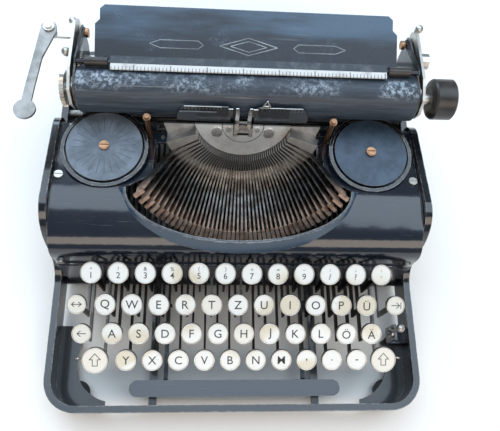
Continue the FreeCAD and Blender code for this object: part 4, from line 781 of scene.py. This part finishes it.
def table_line(builder, start, end, wide=0.35):
    start, end = Vector(start), Vector(end)
    way = end - start
    turn = Matrix.Rotation(math.atan2(way.y, way.x), 4, "Z")
    centre = (start + end) / 2
    matrix = TABLE_FRAME @ Matrix.Translation(mm(centre.x, centre.y, 1.24)) @ turn
    size = Matrix.Diagonal((way.length * MM, wide * MM, 0.06 * MM, 1.0))
    bmesh.ops.create_cube(builder, size=1.0, matrix=matrix @ size)


transfer = bmesh.new()
for side in (-1, 1):
    for edge in (LINE_MIDDLE - 3.0, LINE_MIDDLE + 3.0):
        table_line(transfer, (side * 38, edge), (side * 66, edge))
        table_line(transfer, (side * 66, edge), (side * 74, LINE_MIDDLE))
        table_line(transfer, (side * 38, edge), (side * 34, LINE_MIDDLE))
for inner in (1.0, 0.62):
    wide, tall = 22 * inner, 6.5 * inner
    corners = [(-wide, LINE_MIDDLE), (0, LINE_MIDDLE + tall), (wide, LINE_MIDDLE), (0, LINE_MIDDLE - tall)]
    for first, second in zip(corners, corners[1:] + corners[:1]):
        table_line(transfer, first, second, 0.5)
silver = old_metal("transfer_silver", (0.42, 0.43, 0.42), (0.18, 0.19, 0.20), 0.42, 0.2)
piece("table_transfer", transfer, silver, "lift", False)

# %% [markdown]
# ## Card fingers
# Two dark plates stand in front of the platen and hold a card against it. They are stamped from sheet, so
# each is an outline that is extruded to a little thickness. The left plate has a long open slot: the
# return lever passes through it when the carriage is all the way to the right.

# %% Card fingers
def sheet_piece(builder, outline, y, thick):
    """An upright plate: an outline in X and Z, made solid towards the platen."""
    verts = [builder.verts.new(mm(x, y, z)) for x, z in outline]
    face = builder.faces.new(verts)
    made = bmesh.ops.extrude_face_region(builder, geom=[face])
    moved = [item for item in made["geom"] if isinstance(item, bmesh.types.BMVert)]
    bmesh.ops.translate(builder, verts=moved, vec=mm(0, thick, 0))
    bmesh.ops.recalc_face_normals(builder, faces=builder.faces[:])


FINGER_Y = 56.6
FINGER_THICK = 0.8
TOOTH_PITCH = 2.54
TOOTH_WIDE = 0.8
TEETH_Y = 56.2
LEFT_FINGER = [
    (-46, 118), (-44.3, 123.0), (-18, 123.0), (-18, 126.4), (-43.2, 126.4), (-41, 130.5),
    (-10, 130.5), (-8, 128), (-8, 111), (-12, 109.5), (-46, 112),
]
RIGHT_FINGER = [
    (9.5, 111), (9.5, 128), (12, 130.5), (43, 130.5), (45, 127), (48, 118), (48, 112), (14, 109.5),
]
fingers = bmesh.new()
for outline in (LEFT_FINGER, RIGHT_FINGER):
    sheet_piece(fingers, outline, FINGER_Y, FINGER_THICK)
finger_enamel = lacquer("finger_enamel", (0.030, 0.036, 0.044), 0.34, 0.9, 0.5, 0.0005)
piece("card_fingers", fingers, finger_enamel, "frame", False)

# %% [markdown]
# ## Teeth
# The bright edge of each finger is cut into teeth at the pitch of the type, so the typist can count
# characters on a card. Each tooth is a small strip of sheet just in front of its finger.

# %% Teeth
def strip(builder, x, z, wide, tall, y, thick):
    """An upright rectangle of sheet, from its lower left corner."""
    corners = [(x, z), (x + wide, z), (x + wide, z + tall), (x, z + tall)]
    sheet_piece(builder, corners, y, thick)


teeth = bmesh.new()
for left, right in ((-40.5, -14.5), (14.0, 42.5)):
    strip(teeth, left, 129.9, right - left, 1.3, TEETH_Y, 0.3)
    for i in range(int((right - left) / TOOTH_PITCH) + 1):
        strip(teeth, left + i * TOOTH_PITCH, 126.8, TOOTH_WIDE, 3.2, TEETH_Y, 0.3)
for x in (-9.6, 8.0):
    strip(teeth, x, 119.5, 3.2, 10.0, 55.6, 0.6)
piece("card_teeth", teeth, ring_nickel, "frame", False)

# %% [markdown]
# ## Type guide and pointer
# A typebar is steered between two prongs just before it strikes, and the prongs flare at the top to let
# it in. The pointer behind them is bent wire in an A, made of three rods. Plate outlines are quick to
# draw and extrude.

# %% Guide fork and pointer
FORK_Y = 56.7
FORK_THICK = 0.6
FORK_SHEETS = [
    [(-4.2, 108), (7.6, 108), (7.6, 110.4), (-4.2, 110.4)],
    [(-4.2, 110.4), (-1.4, 110.4), (-1.4, 124.0), (-2.2, 128.5), (-4.2, 128.5)],
    [(4.8, 110.4), (7.6, 110.4), (7.6, 128.5), (5.6, 128.5), (4.8, 124.0)],
]
fork = bmesh.new()
for outline in FORK_SHEETS:
    sheet_piece(fork, outline, FORK_Y, FORK_THICK)
fork_metal = old_metal("fork_metal", (0.74, 0.74, 0.72), (0.52, 0.50, 0.46), 0.30, 0.3)
piece("guide_fork", fork, fork_metal, "frame", False)
pointer = bmesh.new()
POINTER_X = 17.0
POINTER_TIP = mm(POINTER_X, 58.2, 137.0)
for way in (-1, 1):
    foot = mm(POINTER_X + way * 3.4, 57.0, 129.5)
    add_rod(pointer, POINTER_TIP, foot, 0.55 * MM, 0.75 * MM, 10)
add_rod(pointer, mm(14.6, 57.3, 132.0), mm(19.4, 57.3, 132.0), 0.5 * MM)
piece("line_pointer", pointer, nickel, "frame")

# %% [markdown]
# ## The lip's skirt
# The raised lip round the basket is pressed sheet that flares down onto the cover. A half oval at the top
# and a wider one below are bridged to make the flare, and the band is given a thickness.

# %% Lip skirt
OVAL_CENTRE = 9.0
OVAL_STEPS = 48


def half_oval_loop(builder, half_width, half_depth, top, drop):
    """A half oval that dips towards the typist."""
    verts = []
    for i in range(OVAL_STEPS + 1):
        angle = math.pi + math.pi * i / OVAL_STEPS
        x, y = half_width * math.cos(angle), OVAL_CENTRE + half_depth * math.sin(angle)
        verts.append(builder.verts.new(mm(x, y, top + drop * math.sin(angle))))
    return [builder.edges.new(pair) for pair in zip(verts, verts[1:])]


skirt = bmesh.new()
upper = half_oval_loop(skirt, 83.6, 40.6, 97.2, 0.0)
lower = half_oval_loop(skirt, 89.5, 45.2, 95.2, 8.5)
band = bmesh.ops.bridge_loops(skirt, edges=upper + lower)["faces"]
bmesh.ops.recalc_face_normals(skirt, faces=band)
bmesh.ops.solidify(skirt, geom=band, thickness=0.8 * MM)
bmesh.ops.recalc_face_normals(skirt, faces=skirt.faces[:])
# The skirt's blue tint is painted sheen: it stands in for the blue reflection on the enamel.
skirt_blue_sheen = lacquer("skirt_blue_sheen", (0.014, 0.042, 0.082), 0.12, 1.0, 0.2, 0.0010)
piece("lip_skirt", skirt, skirt_blue_sheen, "frame")

# %% [markdown]
# ## Springs and wire
# A close-wound spring pulls on the paper bail, and a bent wire guards each shift key. A spring is a
# helix: the angle grows steadily while the centre slides from one end to the other.

# %% Springs and wire guards
STEPS_A_TURN = 14
GUARD_STEPS = 18


def helix(start, end, radius, turns):
    start, end = Vector(start), Vector(end)
    way = (end - start).normalized()
    across = way.orthogonal().normalized()
    third = way.cross(across)
    points = []
    for i in range(turns * STEPS_A_TURN + 1):
        angle = 2 * math.pi * i / STEPS_A_TURN
        middle = start.lerp(end, i / (turns * STEPS_A_TURN))
        points.append(middle + (across * math.cos(angle) + third * math.sin(angle)) * radius)
    return points


springs = bmesh.new()
add_wire(springs, helix(mm(-114.4, 84.0, 131.0), mm(-114.4, 100.0, 128.0), 1.5 * MM, 9), 0.32 * MM)
piece("bail_spring", springs, nickel, "lift")
guards = bmesh.new()
for x, way in ((-115.6, -1), (121.9, 1)):
    loop = []
    for i in range(GUARD_STEPS + 1):
        angle = math.radians(200 * i / GUARD_STEPS - 10)
        out = x + way * 2.6 * math.cos(angle)
        loop.append(mm(out, -104.8 + 0.4 * i / GUARD_STEPS, 40 + 5.6 * math.sin(angle)))
    loop.append(mm(x - way * 2.8, -104.4, 30.0))
    add_wire(guards, loop, 0.6 * MM)
piece("shift_guards", guards, nickel, "shift")

# %% [markdown]
# ## Screws, guide edge and hubs
# Small nickel screws hold the rear plate of the basket, in a row above the fan. Behind them runs the
# bright front edge of the carriage guide. The bail turns on two plain copper hubs.

# %% Screws and hubs
SLOT_TURN = 0.6


def add_screw(builder, spot, radius, height):
    """An upright screw head with a slot."""
    top = spot + Vector((0, 0, height))
    add_rod(builder, spot, top, radius, radius * 0.86, 20)
    turn = Matrix.Rotation(SLOT_TURN, 4, "Z")
    add_box(builder, (radius * 1.5, radius * 0.22, height * 0.14), top, turn)


screws = bmesh.new()
for x in (-58.0, -47.0, 50.0, 61.0):
    add_screw(screws, mm(x, 56.0, 85.0), 1.7 * MM, 1.0 * MM)
for x in (-126.0, 126.0):
    add_screw(screws, mm(x, 62.0, 88.2), 2.2 * MM, 1.2 * MM)
piece("deck_screws", screws, nickel, "frame")
guide_line = bmesh.new()
add_box(guide_line, mm(196.0, 1.0, 0.8), mm(2.5, 62.6, 85.6))
piece("guide_line", guide_line, ring_nickel, "frame")
hubs = bmesh.new()
HUB_Y, HUB_Z = 123.0, 119.5
HUB_RADIUS = 3.4 * MM
copper = old_metal("hub_copper", (0.52, 0.30, 0.17), (0.28, 0.15, 0.08), 0.36, 0.4)
for outer, inner in ((-115.6, -113.2), (126.0, 123.4)):
    add_rod(hubs, mm(outer, HUB_Y, HUB_Z), mm(inner, HUB_Y, HUB_Z), HUB_RADIUS)
piece("bail_hubs", hubs, copper, "lift")

# %% [markdown]
# ## Side keys
# The side keys carry signs instead of words: arrows for the margin, the backspace and the tabulator, and
# a hollow upward arrow on each shift key. They are drawn from thin bars so that they stay crisp.

# %% Signs on the side keys
def sign_bar(builder, matrix, start, end, wide=0.55):
    start, end = Vector(start), Vector(end)
    way = end - start
    place = Matrix.Translation(mm((start.x + end.x) / 2, (start.y + end.y) / 2, 0))
    turn = Matrix.Rotation(math.atan2(way.y, way.x), 4, "Z")
    size = Matrix.Diagonal((*mm(way.length + wide * 0.8, wide, 0.05), 1.0))
    bmesh.ops.create_cube(builder, size=1.0, matrix=matrix @ place @ turn @ size)


ARROW_LEFT = [((-3, 0), (3, 0)), ((-3, 0), (-0.8, 2)), ((-3, 0), (-0.8, -2))]
ARROW_RIGHT = [((-3, 0), (3, 0)), ((3, 0), (0.8, 2)), ((3, 0), (0.8, -2)), ((4.0, -2.2), (4.0, 2.2))]
ARROW_BOTH = [((-3.4, 0), (3.4, 0)), ((-3.4, 0), (-1.6, 1.6)), ((-3.4, 0), (-1.6, -1.6)),
              ((3.4, 0), (1.6, 1.6)), ((3.4, 0), (1.6, -1.6))]
ARROW_UP = [((0, 5), (-4, 0.6)), ((0, 5), (4, 0.6)), ((-4, 0.6), (-1.8, 0.6)), ((4, 0.6), (1.8, 0.6)),
            ((-1.8, 0.6), (-1.8, -4)), ((1.8, 0.6), (1.8, -4)), ((-1.8, -4), (1.8, -4))]
SIGNS = {
    "margin_button": [(MARGIN_COLUMN, "upper", ARROW_BOTH)],
    "back_button": [(BACK_COLUMN, "home", ARROW_LEFT)],
    "tab_button": [(TAB_COLUMN, "upper", ARROW_RIGHT)],
    "shift": [(column, "lower", ARROW_UP) for column in SHIFT_COLUMNS],
}
for body, keys in SIGNS.items():
    builder = bmesh.new()
    for column, row, lines in keys:
        matrix = key_matrix(column, row)
        for start, end in lines:
            sign_bar(builder, matrix, start, end)
    piece("signs_" + body, builder, key_ink, body, False)
print("signs on", sorted(SIGNS))

# %% [markdown]
# ## Light
# A machine this glossy shows the room more than itself, so the light is a big soft panel above, a cool
# window behind and a warm low fill, as on a table near a window. Large panels give soft shadows and long,
# calm reflections.

# %% Light
def soft_panel(name, place, target, width, height, power, colour):
    lamp = bpy.data.lights.new(name, "AREA")
    lamp.shape = "RECTANGLE"
    lamp.size = width
    lamp.size_y = height
    lamp.energy = power
    lamp.color = colour
    thing = bpy.data.objects.new(name, lamp)
    bpy.context.scene.collection.objects.link(thing)
    thing.location = place
    thing.rotation_euler = (Vector(target) - Vector(place)).to_track_quat("-Z", "Y").to_euler()


LAMPS = [
    ("window", (-0.5, 1.5, 0.9), (0, 0, 0.05), 1.6, 0.7, 16.0, (0.66, 0.82, 1.0)),
    ("sky_light", (0.1, 0.45, 1.7), (0, 0, 0), 2.4, 1.5, 32.0, (0.72, 0.86, 1.0)),
    ("warm_fill", (0.1, -1.5, 1.2), (0, 0, 0.03), 2.2, 1.0, 20.0, (1.0, 0.86, 0.72)),
]
for lamp_values in LAMPS:
    soft_panel(*lamp_values)
print("lamps", [values[0] for values in LAMPS])
world = bpy.data.worlds.new("room")
world.use_nodes = True
background = world.node_tree.nodes["Background"]
background.inputs["Color"].default_value = (0.74, 0.85, 1.0, 1.0)
background.inputs["Strength"].default_value = 0.32
bpy.context.scene.world = world
bpy.context.scene.view_settings.view_transform = "Standard"

# %% [markdown]
# ## Floor
# A plain pale floor catches the soft shadows and shows between the keys, where the body is open. One big
# square is enough, a little warm so that the light it throws back up is warm too.

# %% Floor
FLOOR_HALF = 3.0
FLOOR_COLOUR = (0.96, 0.93, 0.88)
floor = bmesh.new()
bmesh.ops.create_grid(floor, x_segments=1, y_segments=1, size=FLOOR_HALF)
floor_data = bpy.data.meshes.new("floor")
floor.to_mesh(floor_data)
floor.free()
floor_thing = bpy.data.objects.new("floor", floor_data)
bpy.context.scene.collection.objects.link(floor_thing)
floor_made, floor_shader = start_material("pale_floor")[:2]
floor_data.materials.append(finish(floor_made, floor_shader, FLOOR_COLOUR, 0.8))
print("floor", FLOOR_HALF * 2, "m across")

# %% [markdown]
# ## Camera
# The camera looks steeply down from in front, a little to the left and slightly turned. Three angles give
# its direction: how far it looks down, how far it faces to the right, and how far it is rolled.

# %% Camera
CAMERA_PLACE = (-0.0219, -0.1489, 0.4704)
CAMERA_ANGLES = (1.20997, 0.20691, 0.20997)
LENS = 40.32
SENSOR = 36.0


def look(pitch, yaw, roll):
    ahead = Vector((math.cos(pitch) * math.sin(yaw), math.cos(pitch) * math.cos(yaw), -math.sin(pitch)))
    right = Vector((math.cos(yaw), -math.sin(yaw), 0.0))
    up = right.cross(ahead)
    side = math.cos(roll) * right + math.sin(roll) * up
    top = -math.sin(roll) * right + math.cos(roll) * up
    return Matrix((side, top, -ahead)).transposed().to_4x4()


camera_data = bpy.data.cameras.new("camera")
camera_data.lens = LENS
camera_data.sensor_width = SENSOR
camera = bpy.data.objects.new("camera", camera_data)
camera.matrix_world = Matrix.Translation(CAMERA_PLACE) @ look(*CAMERA_ANGLES)
bpy.context.scene.collection.objects.link(camera)
bpy.context.scene.camera = camera
print("camera", tuple(round(v, 4) for v in camera.location))

# %% [markdown]
